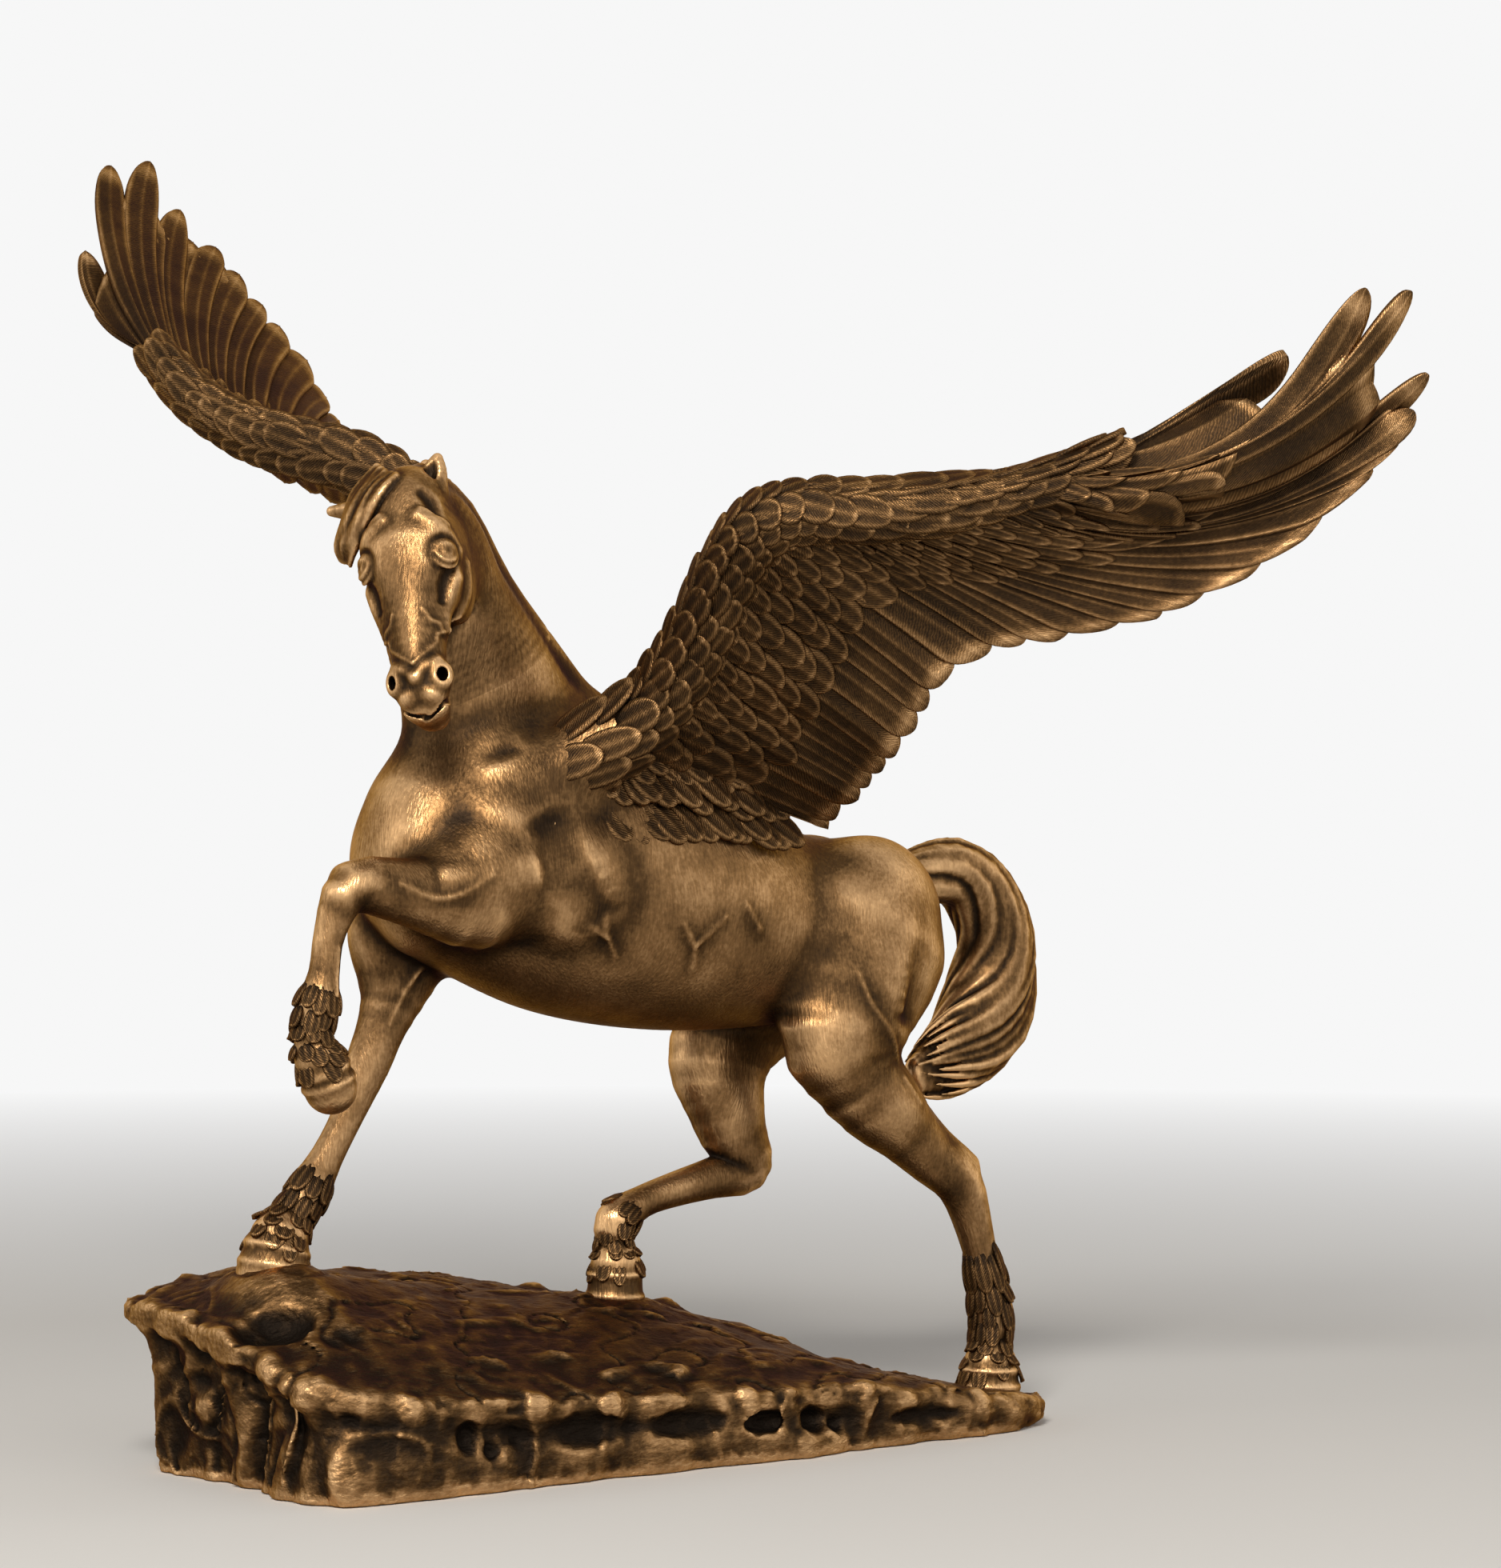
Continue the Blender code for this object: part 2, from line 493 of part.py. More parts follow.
def build_wing(form, wing):
    """Arm, flight feathers from the arm to their tips, and rows of coverts over both faces."""
    arm, tips = wing[:2]
    last = len(tips) - 1
    add_limb(form, [(point, radius, radius) for point, radius in zip(arm, ARM_RADII)], steps=1, sides=12)
    for i in range(last + 1):
        finger = height_at(((0, 0.08), (13, 0.1), (19, 0.22), (22, 0.32)), i)
        add_wing_feather(form, wing, i, FEATHER_HALF_WIDTH, 0, 1, 0, finger)
    for row, (count, near, far) in enumerate(COVERT_ROWS):
        for i in range(count):
            place = COVERED_FEATHERS * (i + 0.5 * (row % 2)) / (count - 0.5)
            end = near + (far - near) * i / count
            for face in (1, -1):
                lift = face * COVERT_LIFT * (row + 1)
                add_wing_feather(form, wing, place, 0.62 * COVERED_FEATHERS / count, 0.02, end, lift, 0.35)


def outer_skin(source, name):
    """A copy of the evaluated object without the shells that lie wholly inside its outer skin."""
    graph = bpy.context.evaluated_depsgraph_get()
    mesh = bpy.data.meshes.new_from_object(source.evaluated_get(graph))
    form = bmesh.new()
    form.from_mesh(mesh)
    unseen = set(form.verts)
    shells = []
    while unseen:
        shell = {unseen.pop()}
        edge = list(shell)
        while edge:
            edge = [link.other_vert(vert) for vert in edge for link in vert.link_edges]
            edge = list({vert for vert in edge if vert not in shell})
            shell.update(edge)
        unseen -= shell
        shells.append(shell)
    largest = max(shells, key=len)
    bmesh.ops.delete(form, geom=[v for v in form.verts if v not in largest], context="VERTS")
    form.to_mesh(mesh)
    form.free()
    return bpy.data.objects.new(name, mesh)


def bronze():
    """Antique bronze finish."""
    material = bpy.data.materials.new("bronze")
    material.use_nodes = True
    shader = material.node_tree.nodes["Principled BSDF"]
    shader.inputs["Base Color"].default_value = BRONZE
    shader.inputs["Roughness"].default_value = BRONZE_ROUGHNESS
    shader.inputs["Metallic"].default_value = BRONZE_METALLIC
    return material


def main():
    for obj in list(bpy.data.objects):
        bpy.data.objects.remove(obj, do_unlink=True)
    figures = bpy.data.collections.new("pegasus_figurine")
    helpers = bpy.data.collections.new("helpers")
    for collection in (figures, helpers):
        bpy.context.scene.collection.children.link(collection)

    form = bmesh.new()
    build_base(form)
    build_trunk(form)
    build_neck_and_head(form)
    build_mane(form)
    build_legs(form)
    build_tail(form)
    build_tufts(form)
    build_wing(form, (LEFT_ARM, LEFT_TIPS, LEFT_BEND, 1))
    build_wing(form, (RIGHT_ARM, RIGHT_TIPS, RIGHT_BEND, -1))
    for share, tip in UNDER_FEATHERS:
        root = along(RIGHT_ARM, share)
        add_feather(form, root, Vector(tip), Vector((1, 0, 1)), UNDER_WIDTH, FEATHER_THICKNESS)
    bmesh.ops.recalc_face_normals(form, faces=form.faces)
    mesh = bpy.data.meshes.new("forms")
    form.to_mesh(mesh)
    form.free()
    forms = bpy.data.objects.new("forms", mesh)
    forms.hide_render = True
    forms.display_type = "WIRE"
    helpers.objects.link(forms)
    fuse = forms.modifiers.new("fuse", "REMESH")
    fuse.mode = "VOXEL"
    fuse.voxel_size = SKIN_VOXEL * MM
    soften = forms.modifiers.new("soften", "SMOOTH")
    soften.factor = 0.5
    soften.iterations = round(SKIN_SMOOTHING)

    figurine = outer_skin(forms, "pegasus_figurine")
    figurine.data.materials.clear()
    figurine.data.materials.append(bronze())
    figures.objects.link(figurine)
    triangles = sum(len(face.vertices) - 2 for face in figurine.data.polygons)
    thin = figurine.modifiers.new("thin", "DECIMATE")
    thin.ratio = min(1, SKIN_TRIANGLES / triangles)

    form = bmesh.new()
    reach = 3 * (BASE_TAIL_X - BASE_FRONT_X)
    depth = 10 * BASE_BURIED
    size = Matrix.Diagonal((reach * MM, reach * MM, depth * MM, 1))
    bmesh.ops.create_cube(form, size=1, matrix=Matrix.Translation((0, 0, -depth / 2 * MM)) @ size)
    mesh = bpy.data.meshes.new("floor_cutter")
    form.to_mesh(mesh)
    form.free()
    floor = bpy.data.objects.new("floor_cutter", mesh)
    floor.hide_render = True
    floor.display_type = "WIRE"
    helpers.objects.link(floor)
    flatten = figurine.modifiers.new("flatten", "BOOLEAN")
    flatten.operation = "DIFFERENCE"
    flatten.object = floor


main()
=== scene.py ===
import math

import bmesh
import bpy
import numpy as np
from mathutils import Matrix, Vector


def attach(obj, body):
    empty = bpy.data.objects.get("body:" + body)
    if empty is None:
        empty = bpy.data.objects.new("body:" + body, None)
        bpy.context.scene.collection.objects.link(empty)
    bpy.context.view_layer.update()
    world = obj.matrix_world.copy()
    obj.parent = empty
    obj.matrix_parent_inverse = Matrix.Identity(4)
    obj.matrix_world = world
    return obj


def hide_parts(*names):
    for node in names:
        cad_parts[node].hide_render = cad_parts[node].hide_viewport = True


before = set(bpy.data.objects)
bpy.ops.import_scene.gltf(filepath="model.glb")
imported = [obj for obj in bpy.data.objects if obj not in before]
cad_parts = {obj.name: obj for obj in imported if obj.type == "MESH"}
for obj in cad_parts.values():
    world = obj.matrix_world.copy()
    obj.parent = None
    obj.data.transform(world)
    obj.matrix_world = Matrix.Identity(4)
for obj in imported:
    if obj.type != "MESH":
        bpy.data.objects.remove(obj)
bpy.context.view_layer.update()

NODE = "pegasus_figurine"
MM = 0.001

# The horse's body, neck and legs.
# On the real figurine they are one casting with everything else, modelled in clay with smooth muscles,
# raised veins and engraved hair. Here the forms are blended in a grid of distances and skinned.


def along(points, share):
    """A point on the smooth curve through points, share going from 0 at the first to 1 at the last."""
    points = np.asarray(points, float)
    last = len(points) - 1
    place = min(max(share, 0.0), 1.0) * last
    index = min(int(place), last - 1)
    part = place - index
    before, start, end, after = (points[min(max(index + step, 0), last)] for step in (-1, 0, 1, 2))
    bend = (2 * before - 5 * start + 4 * end - after) * part
    twist = (3 * start - 3 * end + after - before) * part * part
    return start + (end - before + bend + twist) * part / 2


def unit(vector):
    return np.asarray(vector, float) / (np.linalg.norm(vector) + 1e-12)


def split(stations):
    """The centres of a row of stations, and their sizes."""
    return [station[0] for station in stations], [station[1:] for station in stations]


def run_along(grid, axis):
    """How far along an axis every point of a grid lies."""
    x, y, z = (part * np.float32(share) for part, share in zip(grid, axis))
    return x + y + z


class Clay:
    """A block of space that holds, at every grid point, the distance to the modelled surface."""

    def __init__(self, low, high, step):
        self.low = np.asarray(low, float)
        self.step = step
        self.counts = np.ceil((np.asarray(high, float) - self.low) / step).astype(int) + 1
        self.field = np.full(self.counts, 40.0, np.float32)

    def window(self, low, high):
        """The part of the grid between two corners: its slices and its coordinates along each axis."""
        first = np.clip(np.floor((np.asarray(low) - self.low) / self.step).astype(int), 0, self.counts - 1)
        past = np.clip(np.ceil((np.asarray(high) - self.low) / self.step).astype(int) + 1, 1, self.counts)
        slices = tuple(slice(a, b) for a, b in zip(first, past))
        if any(b <= a for a, b in zip(first, past)):
            return None, None
        axes = [
            (self.low[i] + self.step * np.arange(first[i], past[i])).astype(np.float32) for i in range(3)
        ]
        return slices, (axes[0][:, None, None], axes[1][None, :, None], axes[2][None, None, :])

    def put(self, slices, distance, blend, cut):
        """Adds a form to the clay, or cuts it away, with a fillet of the given size."""
        here = self.field[slices]
        if cut:
            distance = -distance
            gap = np.maximum(blend - np.abs(here - distance), 0) / blend
            self.field[slices] = np.maximum(here, distance) + gap * gap * blend / 4
        else:
            gap = np.maximum(blend - np.abs(here - distance), 0) / blend
            self.field[slices] = np.minimum(here, distance) - gap * gap * blend / 4

    def mass(self, centre, radii, axes=None, turn=0, blend=6, cut=False):
        """An ellipsoid. Its axes are given as three rows, or by a turn about Y in degrees."""
        if axes is None:
            a = math.radians(turn)
            axes = ((math.cos(a), 0, -math.sin(a)), (0, 1, 0), (math.sin(a), 0, math.cos(a)))
        reach = max(radii) + blend
        slices, grid = self.window(np.asarray(centre) - reach, np.asarray(centre) + reach)
        if slices is None:
            return
        shifted = [g - np.float32(c) for g, c in zip(grid, centre)]
        near = far = 0
        for axis, radius in zip(axes, radii):
            part = run_along(shifted, axis) / np.float32(radius)
            near = near + part * part
            far = far + (part / np.float32(radius)) ** 2
        near = np.sqrt(near)
        self.put(slices, near * (near - 1) / (np.sqrt(far) + 1e-5), blend, cut)

    def limb(self, stations, across=(0, 1, 0), blend=6, cut=False, steps=3):
        """A tube of oval section through (centre, half width, half depth) stations."""
        centres, sizes = split(stations)
        count = (len(stations) - 1) * steps
        line = np.array([along(centres, i / count) for i in range(count + 1)])
        thick = np.array([along(sizes, i / count) for i in range(count + 1)])
        reach = thick.max() + blend
        slices, grid = self.window(line.min(0) - reach, line.max(0) + reach)
        if slices is None:
            return
        corner = np.array([g.flat[0] for g in grid])
        whole = np.full([s.stop - s.start for s in slices], 40.0, np.float32)
        for start, end, size, next_size in zip(line, line[1:], thick, thick[1:]):
            reach = max(size.max(), next_size.max()) + blend
            low = np.floor((np.minimum(start, end) - reach - corner) / self.step).astype(int)
            low = np.clip(low, 0, None)
            high = np.ceil((np.maximum(start, end) + reach - corner) / self.step).astype(int) + 1
            high = np.clip(high, 1, whole.shape)
            if (high <= low).any():
                continue
            part = tuple(slice(a, b) for a, b in zip(low, high))
            x, y, z = (
                np.float32(corner[i] - start[i]) + np.float32(self.step)
                * np.arange(low[i], high[i], dtype=np.float32) for i in range(3)
            )
            spots = x[:, None, None], y[None, :, None], z[None, None, :]
            length = np.linalg.norm(end - start) + 1e-6
            tangent = (end - start) / length
            side = unit(np.asarray(across) - tangent * np.dot(across, tangent))
            depth = np.cross(tangent, side)
            run = run_along(spots, tangent)
            share = np.clip(run / np.float32(length), 0, 1)
            over = run - share * np.float32(length)
            wide = np.float32(size[0]) + np.float32(next_size[0] - size[0]) * share
            deep = np.float32(size[1]) + np.float32(next_size[1] - size[1]) * share
            end_size = np.minimum(wide, deep)
            a = run_along(spots, side) / wide
            b = run_along(spots, depth) / deep
            c = over / end_size
            near = np.sqrt(a * a + b * b + c * c)
            far = np.sqrt((a / wide) ** 2 + (b / deep) ** 2 + (c / end_size) ** 2) + 1e-5
            whole[part] = np.minimum(whole[part], near * (near - 1) / far)
        self.put(slices, whole, blend, cut)

    def settle(self, point, sink=0.0):
        """The place on the modelled surface nearest to a point, or a little below it."""
        point = np.array(point, float)
        for _ in range(6):
            cell = np.clip(np.round((point - self.low) / self.step).astype(int), 1, self.counts - 2)
            slope = np.array([
                self.field[tuple(cell + way)] - self.field[tuple(cell - way)] for way in np.eye(3, dtype=int)
            ]) / (2 * self.step)
            value = self.field[tuple(cell)] + np.dot(slope, point - self.low - cell * self.step)
            point = point - unit(slope) * (value + sink)
        return point

    def trace(self, points, sink=0.3, blend=1.0, cut=False):
        """A line laid on the surface through (place, half width) points, sunk by a share of its width."""
        line = [(self.settle(place, sink * wide), wide, wide) for place, wide in points]
        self.limb(line, blend=blend, cut=cut, steps=4)

    def skin(self):
        """The surface where the distance is nought, as points in millimetres and four-sided faces."""
        for axis in range(3):
            for end in (0, -1):
                border = [slice(None)] * 3
                border[axis] = end
                self.field[tuple(border)] = np.maximum(self.field[tuple(border)], self.step)
        inside = self.field < 0
        cells = inside[:-1, :-1, :-1]
        every, some = cells.copy(), cells.copy()
        for i, j, k in np.ndindex(2, 2, 2):
            corner = inside[i:inside.shape[0] - 1 + i, j:inside.shape[1] - 1 + j, k:inside.shape[2] - 1 + k]
            every &= corner
            some |= corner
        cell = np.argwhere(some & ~every)
        shape = np.array(cells.shape)
        keys = (cell[:, 0] * shape[1] + cell[:, 1]) * shape[2] + cell[:, 2]
        offsets = np.array(list(np.ndindex(2, 2, 2)))
        values = np.stack([self.field[tuple((cell + o).T)] for o in offsets], 1)
        total = np.zeros((len(cell), 3))
        hits = np.zeros(len(cell))
        for a in range(8):
            for b in range(a + 1, 8):
                if np.abs(offsets[a] - offsets[b]).sum() != 1:
                    continue
                crossing = (values[:, a] < 0) != (values[:, b] < 0)
                share = values[:, a] / (values[:, a] - values[:, b] + 1e-12)
                point = offsets[a] + (offsets[b] - offsets[a]) * share[:, None]
                total[crossing] += point[crossing]
                hits[crossing] += 1
        points = self.low + self.step * (cell + total / hits[:, None])
        faces = []
        for axis in range(3):
            one, two = (axis + 1) % 3, (axis + 2) % 3
            lead = [slice(1, -1)] * 3
            follow = [slice(1, -1)] * 3
            lead[axis], follow[axis] = slice(0, -1), slice(1, None)
            first, second = inside[tuple(lead)], inside[tuple(follow)]
            for outward in (False, True):
                place = np.argwhere((first & ~second) if outward else (~first & second))
                at = place + 1
                at[:, axis] -= 1
                corners = []
                for da, db in ((0, 0), (1, 0), (1, 1), (0, 1)):
                    near = at.copy()
                    near[:, one] -= 1 - da
                    near[:, two] -= 1 - db
                    corners.append(near[:, 0] * shape[1] * shape[2] + near[:, 1] * shape[2] + near[:, 2])
                quad = np.stack(corners, 1)
                faces.append(quad if outward else quad[:, ::-1])
        faces = np.searchsorted(keys, np.concatenate(faces))
        return points, faces


def to_mesh(name, points, faces):
    """A mesh from points in millimetres and faces that all have the same number of corners."""
    mesh = bpy.data.meshes.new(name)
    corners = faces.shape[1]
    mesh.vertices.add(len(points))
    mesh.vertices.foreach_set("co", (np.asarray(points) * MM).astype(np.float32).ravel())
    mesh.loops.add(faces.size)
    mesh.loops.foreach_set("vertex_index", faces.astype(np.int32).ravel())
    mesh.polygons.add(len(faces))
    mesh.polygons.foreach_set("loop_start", np.arange(0, faces.size, corners, dtype=np.int32))
    mesh.polygons.foreach_set("use_smooth", np.ones(len(faces), bool))
    mesh.update(calc_edges=True)
    return mesh


def thinned(mesh, triangles):
    """The mesh with its flattest faces merged until it has the given number of triangles."""
    solid = bpy.data.objects.new(mesh.name, mesh)
    bpy.context.scene.collection.objects.link(solid)
    now = sum(len(face.vertices) - 2 for face in mesh.polygons)
    thin = solid.modifiers.new("thin", "DECIMATE")
    thin.ratio = min(1, triangles / now)
    made = bpy.data.meshes.new_from_object(solid.evaluated_get(bpy.context.evaluated_depsgraph_get()))
    bpy.data.objects.remove(solid, do_unlink=True)
    made.name = mesh.name
    return made


def node(tree, kind, inputs=None, **settings):
    """A node with its settings and its inputs, each input a value or another node's output."""
    made = tree.nodes.new(kind)
    for key, value in settings.items():
        setattr(made, key, value)
    for key, value in (inputs or {}).items():
        if isinstance(value, bpy.types.NodeSocket):
            tree.links.new(value, made.inputs[key])
        else:
            made.inputs[key].default_value = value
    return made


def maths(tree, operation, *values, vector=False, **settings):
    """The result of one operation on values or other nodes' outputs, which may be vectors."""
    kind = "ShaderNodeVectorMath" if vector else "ShaderNodeMath"
    made = node(tree, kind, dict(enumerate(values)), operation=operation, **settings)
    return [socket for socket in made.outputs if socket.enabled][0]


def noise(tree, place, scale, detail, roughness=0.5, output="Fac"):
    """Noise of a given scale at a place."""
    inputs = {"Vector": place, "Scale": scale, "Detail": detail, "Roughness": roughness}
    return node(tree, "ShaderNodeTexNoise", inputs).outputs[output]


def group(name, sockets, kind="ShaderNodeTree"):
    """An empty node group with the given (name, direction, socket type) sockets, and its two ends."""
    tree = bpy.data.node_groups.new(name, kind)
    for label, way, socket in sockets:
        tree.interface.new_socket(label, in_out=way, socket_type=socket)
    return tree, tree.nodes.new("NodeGroupInput"), tree.nodes.new("NodeGroupOutput")


def ramp(tree, value, stops):
    """A colour ramp through (place, colour) stops."""
    made = node(tree, "ShaderNodeValToRGB", {"Fac": value})
    for index, (place, colour) in enumerate(stops):
        stop = made.color_ramp.elements[index] if index < 2 else made.color_ramp.elements.new(place)
        stop.position = place
        stop.color = (*colour, 1)
    return made.outputs["Color"]


# Rubbed bronze: brown in the hollows and golden on everything that stands out, with an uneven rub.
PATINA_STOPS = (
    (0.0, (0.011, 0.008, 0.006)), (1.0, (0.66, 0.40, 0.19)), (0.30, (0.030, 0.018, 0.010)),
    (0.50, (0.088, 0.047, 0.019)), (0.68, (0.235, 0.128, 0.052)),
)
# How far the large blotches, the fine specks and the engraved relief change the rub.
BLOTCHES = 0.55
SPECKS = 0.22
ENGRAVED = 0.22
patina, ends, out = group("patina", (
    ("Wear", "INPUT", "NodeSocketFloat"), ("Color", "OUTPUT", "NodeSocketColor"),
    ("Roughness", "OUTPUT", "NodeSocketFloat"), ("Metallic", "OUTPUT", "NodeSocketFloat"),
))
place = node(patina, "ShaderNodeTexCoord").outputs["Object"]
uneven = maths(patina, "MULTIPLY_ADD", noise(patina, place, 55, 6, 0.6), BLOTCHES, -BLOTCHES / 2)
uneven = maths(patina, "MULTIPLY_ADD", noise(patina, place, 900, 3), SPECKS, uneven)
rub = maths(patina, "ADD", ends.outputs["Wear"], uneven)
rub = maths(patina, "SUBTRACT", rub, SPECKS / 2, use_clamp=True)
patina.links.new(ramp(patina, rub, PATINA_STOPS), out.inputs["Color"])
for label, low, high in (("Roughness", 0.58, 0.30), ("Metallic", 0.82, 0.97)):
    span = node(patina, "ShaderNodeMapRange", {"Value": rub, "To Min": low, "To Max": high})
    patina.links.new(span.outputs["Result"], out.inputs[label])


def bronze(name, strength, depth, relief, dull=0.0):
    """A bronze whose fine relief comes from a function that adds nodes and returns a height."""
    material = bpy.data.materials.new(name)
    material.use_nodes = True
    tree = material.node_tree
    shader = tree.nodes["Principled BSDF"]
    wear = node(tree, "ShaderNodeAttribute", attribute_name="wear").outputs["Fac"]
    height = relief(tree)
    wear = maths(tree, "ADD", wear, maths(tree, "MULTIPLY_ADD", height, ENGRAVED, -ENGRAVED / 2 - dull))
    finish = node(tree, "ShaderNodeGroup", {"Wear": wear}, node_tree=patina)
    bump = node(tree, "ShaderNodeBump", {"Strength": strength, "Distance": depth * MM, "Height": height})
    for label, socket in (("Color", "Base Color"), ("Roughness", "Roughness"), ("Metallic", "Metallic")):
        tree.links.new(finish.outputs[label], shader.inputs[socket])
    tree.links.new(bump.outputs["Normal"], shader.inputs["Normal"])
    shader.inputs["Specular IOR Level"].default_value = 0.3
    shader.inputs["Specular Tint"].default_value = (0.6, 0.4, 0.22, 1)
    return material


def streaks(tree, along_z=0.16, scale=1500):
    """Height of short engraved strokes that run down the body."""
    place = node(tree, "ShaderNodeTexCoord").outputs["Object"]
    sway = noise(tree, place, 30, 1, output="Color")
    bent = maths(tree, "MULTIPLY_ADD", sway, (0.012, 0.012, 0.0), place, vector=True)
    return noise(tree, maths(tree, "MULTIPLY", bent, (1, 1, along_z), vector=True), scale, 2)


def worn(mesh, rounds, reach):
    """Stores how far each point stands out of the surface around it, from 0 in a hollow to 1 on a ridge."""
    def read(items, key, width, kind):
        values = np.empty(len(items) * width, kind)
        items.foreach_get(key, values)
        return values.reshape(-1, width)

    count = len(mesh.vertices)
    places, normals = (read(mesh.vertices, key, 3, np.float32) for key in ("co", "normal"))
    one, two = read(mesh.edges, "vertices", 2, np.int32).T
    links = np.bincount(one, minlength=count) + np.bincount(two, minlength=count)

    def even(values):
        total = [np.bincount(one, v[two], count) + np.bincount(two, v[one], count) for v in values.T]
        return np.stack(total, 1) / np.maximum(links, 1)[:, None]

    smooth = places
    for _ in range(rounds):
        smooth = even(smooth)
    stand = ((places - smooth) * normals).sum(1, keepdims=True) / MM
    wear = np.clip(0.5 + even(stand) / reach / 2, 0, 1)
    stored = mesh.attributes.new("wear", "FLOAT", "POINT")
    stored.data.foreach_set("value", wear.astype(np.float32).ravel())


def piece(name, mesh, material):
    """Adds a finished part of the casting to the scene and hands it to the frame."""
    mesh.materials.clear()
    mesh.materials.append(material)
    made = bpy.data.objects.new(name, mesh)
    bpy.context.scene.collection.objects.link(made)
    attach(made, "root")
    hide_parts(NODE)
    return made


def cast(name, clay, triangles, rounds, reach, material):
    """Adds a piece with the clay's surface, worn over some rounds, and lets the clay go."""
    mesh = thinned(to_mesh(name, *clay.skin()), triangles)
    clay.field = None
    worn(mesh, rounds, reach)
    piece(name, mesh, material)


hide_bronze = bronze("hide bronze", 0.6, 0.35, streaks)


# The same sizes as the casting's solid, in millimetres: centre, half width, half height or depth.
TRUNK = (
    ((100, 0, 143), 17, 20), ((66, 0, 142), 24, 27), ((24, 0, 150), 31, 36), ((-12, 0, 160), 31, 40),
    ((-50, 0, 166), 23, 31),
)
NECK = (
    ((-28, 0, 180), 19, 34), ((-38, -1, 206), 14.5, 25), ((-51, -4, 228), 12, 20), ((-59, -7, 246), 11, 16),
    ((-68, -8, 255), 9.5, 12),
)
CREST = (
    ((-60, -6, 264), 4, 4), ((-46, -2, 255), 4.5, 5), ((-32, 1, 236), 5, 5.5), ((-17, 2, 219), 5, 6),
    ((-3, 2, 205), 4.5, 5),
)
RAISED_FORELEG = (
    ((-40, -19, 166), 11, 17), ((-52, -20, 152), 10, 13), ((-72, -20, 154), 8.2, 9.2),
    ((-91, -20, 156), 6.2, 6.8), ((-98, -20, 145), 4.1, 4.3), ((-100, -20, 134), 3.9, 4.1),
    ((-102, -20, 125), 5.2, 5.8), ((-104, -20, 117), 4.2, 4.4), ((-101.5, -20, 112), 6.2, 6.6),
    ((-98, -20, 104), 7.2, 6.8),
)
PLANTED_FORELEG = (
    ((-36, 18, 166), 11, 18), ((-42, 19, 148), 10.5, 14), ((-51, 18, 131), 9, 10.2),
    ((-58, 17, 117), 6.6, 6.8), ((-62.5, 17, 107), 5.8, 6.2), ((-69, 16.5, 94), 4.2, 4.5),
    ((-76, 16, 83), 4, 4.6), ((-82, 16, 74), 5.4, 6), ((-87, 16, 67), 4.8, 5),
    ((-91, 16, 62), 7.6, 8), ((-93, 16, 53), 9.4, 10),
)
STEPPING_HINDLEG = (
    ((76, 15, 135), 13, 26), ((62, 18, 112), 11, 18), ((58, 17, 98), 9, 13.5),
    ((61, 16, 84), 7.5, 10.5), ((66, 16, 73), 6, 7.6), ((54, 15.5, 70.5), 4.8, 6),
    ((40, 15, 68), 4.4, 5), ((28, 15, 65), 4.4, 4.6), ((19, 15, 60), 5.6, 6),
    ((18.5, 15, 53), 4.6, 4.8), ((19, 15, 48), 6.8, 7.2), ((18.5, 15, 36), 7.8, 8.4),
)
TRAILING_HINDLEG = (
    ((84, -15, 140), 14, 28), ((74, -19, 116), 12, 21), ((80, -19, 99), 9.5, 14.5),
    ((95, -18, 86), 7.8, 10.5), ((107, -17, 76), 6.2, 8), ((118, -17, 68), 5.8, 7.4),
    ((124, -17, 54), 4.6, 5.8), ((128, -17, 40), 4.2, 5), ((131, -17, 29), 5.4, 6.8),
    ((130, -17, 20), 4.8, 5.4), ((130, -17, 15), 7, 8), ((129.5, -17, 6), 8.4, 9.4),
)
LEGS = (RAISED_FORELEG, PLANTED_FORELEG, STEPPING_HINDLEG, TRAILING_HINDLEG)
# Muscles: centre, three radii, turn about Y in degrees, fillet. The first group lies on both sides.
PAIRED_MUSCLES = (
    ((-33, 16, 170), (15, 11, 27), -25, 9), ((-26, 23, 156), (15, 8.5, 13), -10, 8),
    ((-60, 8, 161), (10.5, 10, 14), 0, 6), ((86, 14, 143), (24, 15, 25), 20, 9),
    ((82, 19, 124), (15, 11, 20), 25, 9), ((98, 12, 128), (11, 10, 17), 10, 7),
)
MUSCLES = (
    ((4, 0, 192), (26, 9, 13), 30, 5), ((-52, -20, 158), (14, 10, 11), 15, 7),
    ((-56, 19, 138), (9, 9, 14), -25, 6), ((66, -22, 111), (10, 9, 13), 30, 8),
    ((52, 19, 104), (8, 8, 12), 0, 7), ((88, -19, 92), (11, 7.5, 9), 40, 6),
    ((60, 17, 92), (8, 7, 11), 15, 6),
)
# Bones and sinews under the skin: lines of (centre, half width, half depth).
SINEWS = (
    (((122, -17, 73), 2.4, 3), ((113, -17, 81), 1.8, 2), ((103, -17, 90), 1.6, 2)),
    (((71, 16, 73), 2.4, 3), ((70, 16, 84), 1.8, 2), ((67, 16, 95), 1.8, 2)),
    (((-96, -23, 154), 3, 3), ((-90, -24.5, 157), 2.4, 3), ((-84, -24, 154), 1.5, 2)),
    (((-58, 20.5, 108), 2.6, 3.4), ((-64, 21, 104), 2.4, 3), ((-67, 20, 99), 1.2, 1.6)),
    (((-66, -26, 157), 2, 3), ((-54, -27.5, 157), 3, 4.5), ((-42, -28, 160), 3, 5)),
    (((-92, -16.5, 158), 3, 3), ((-88, -16, 160), 2, 2)),
)
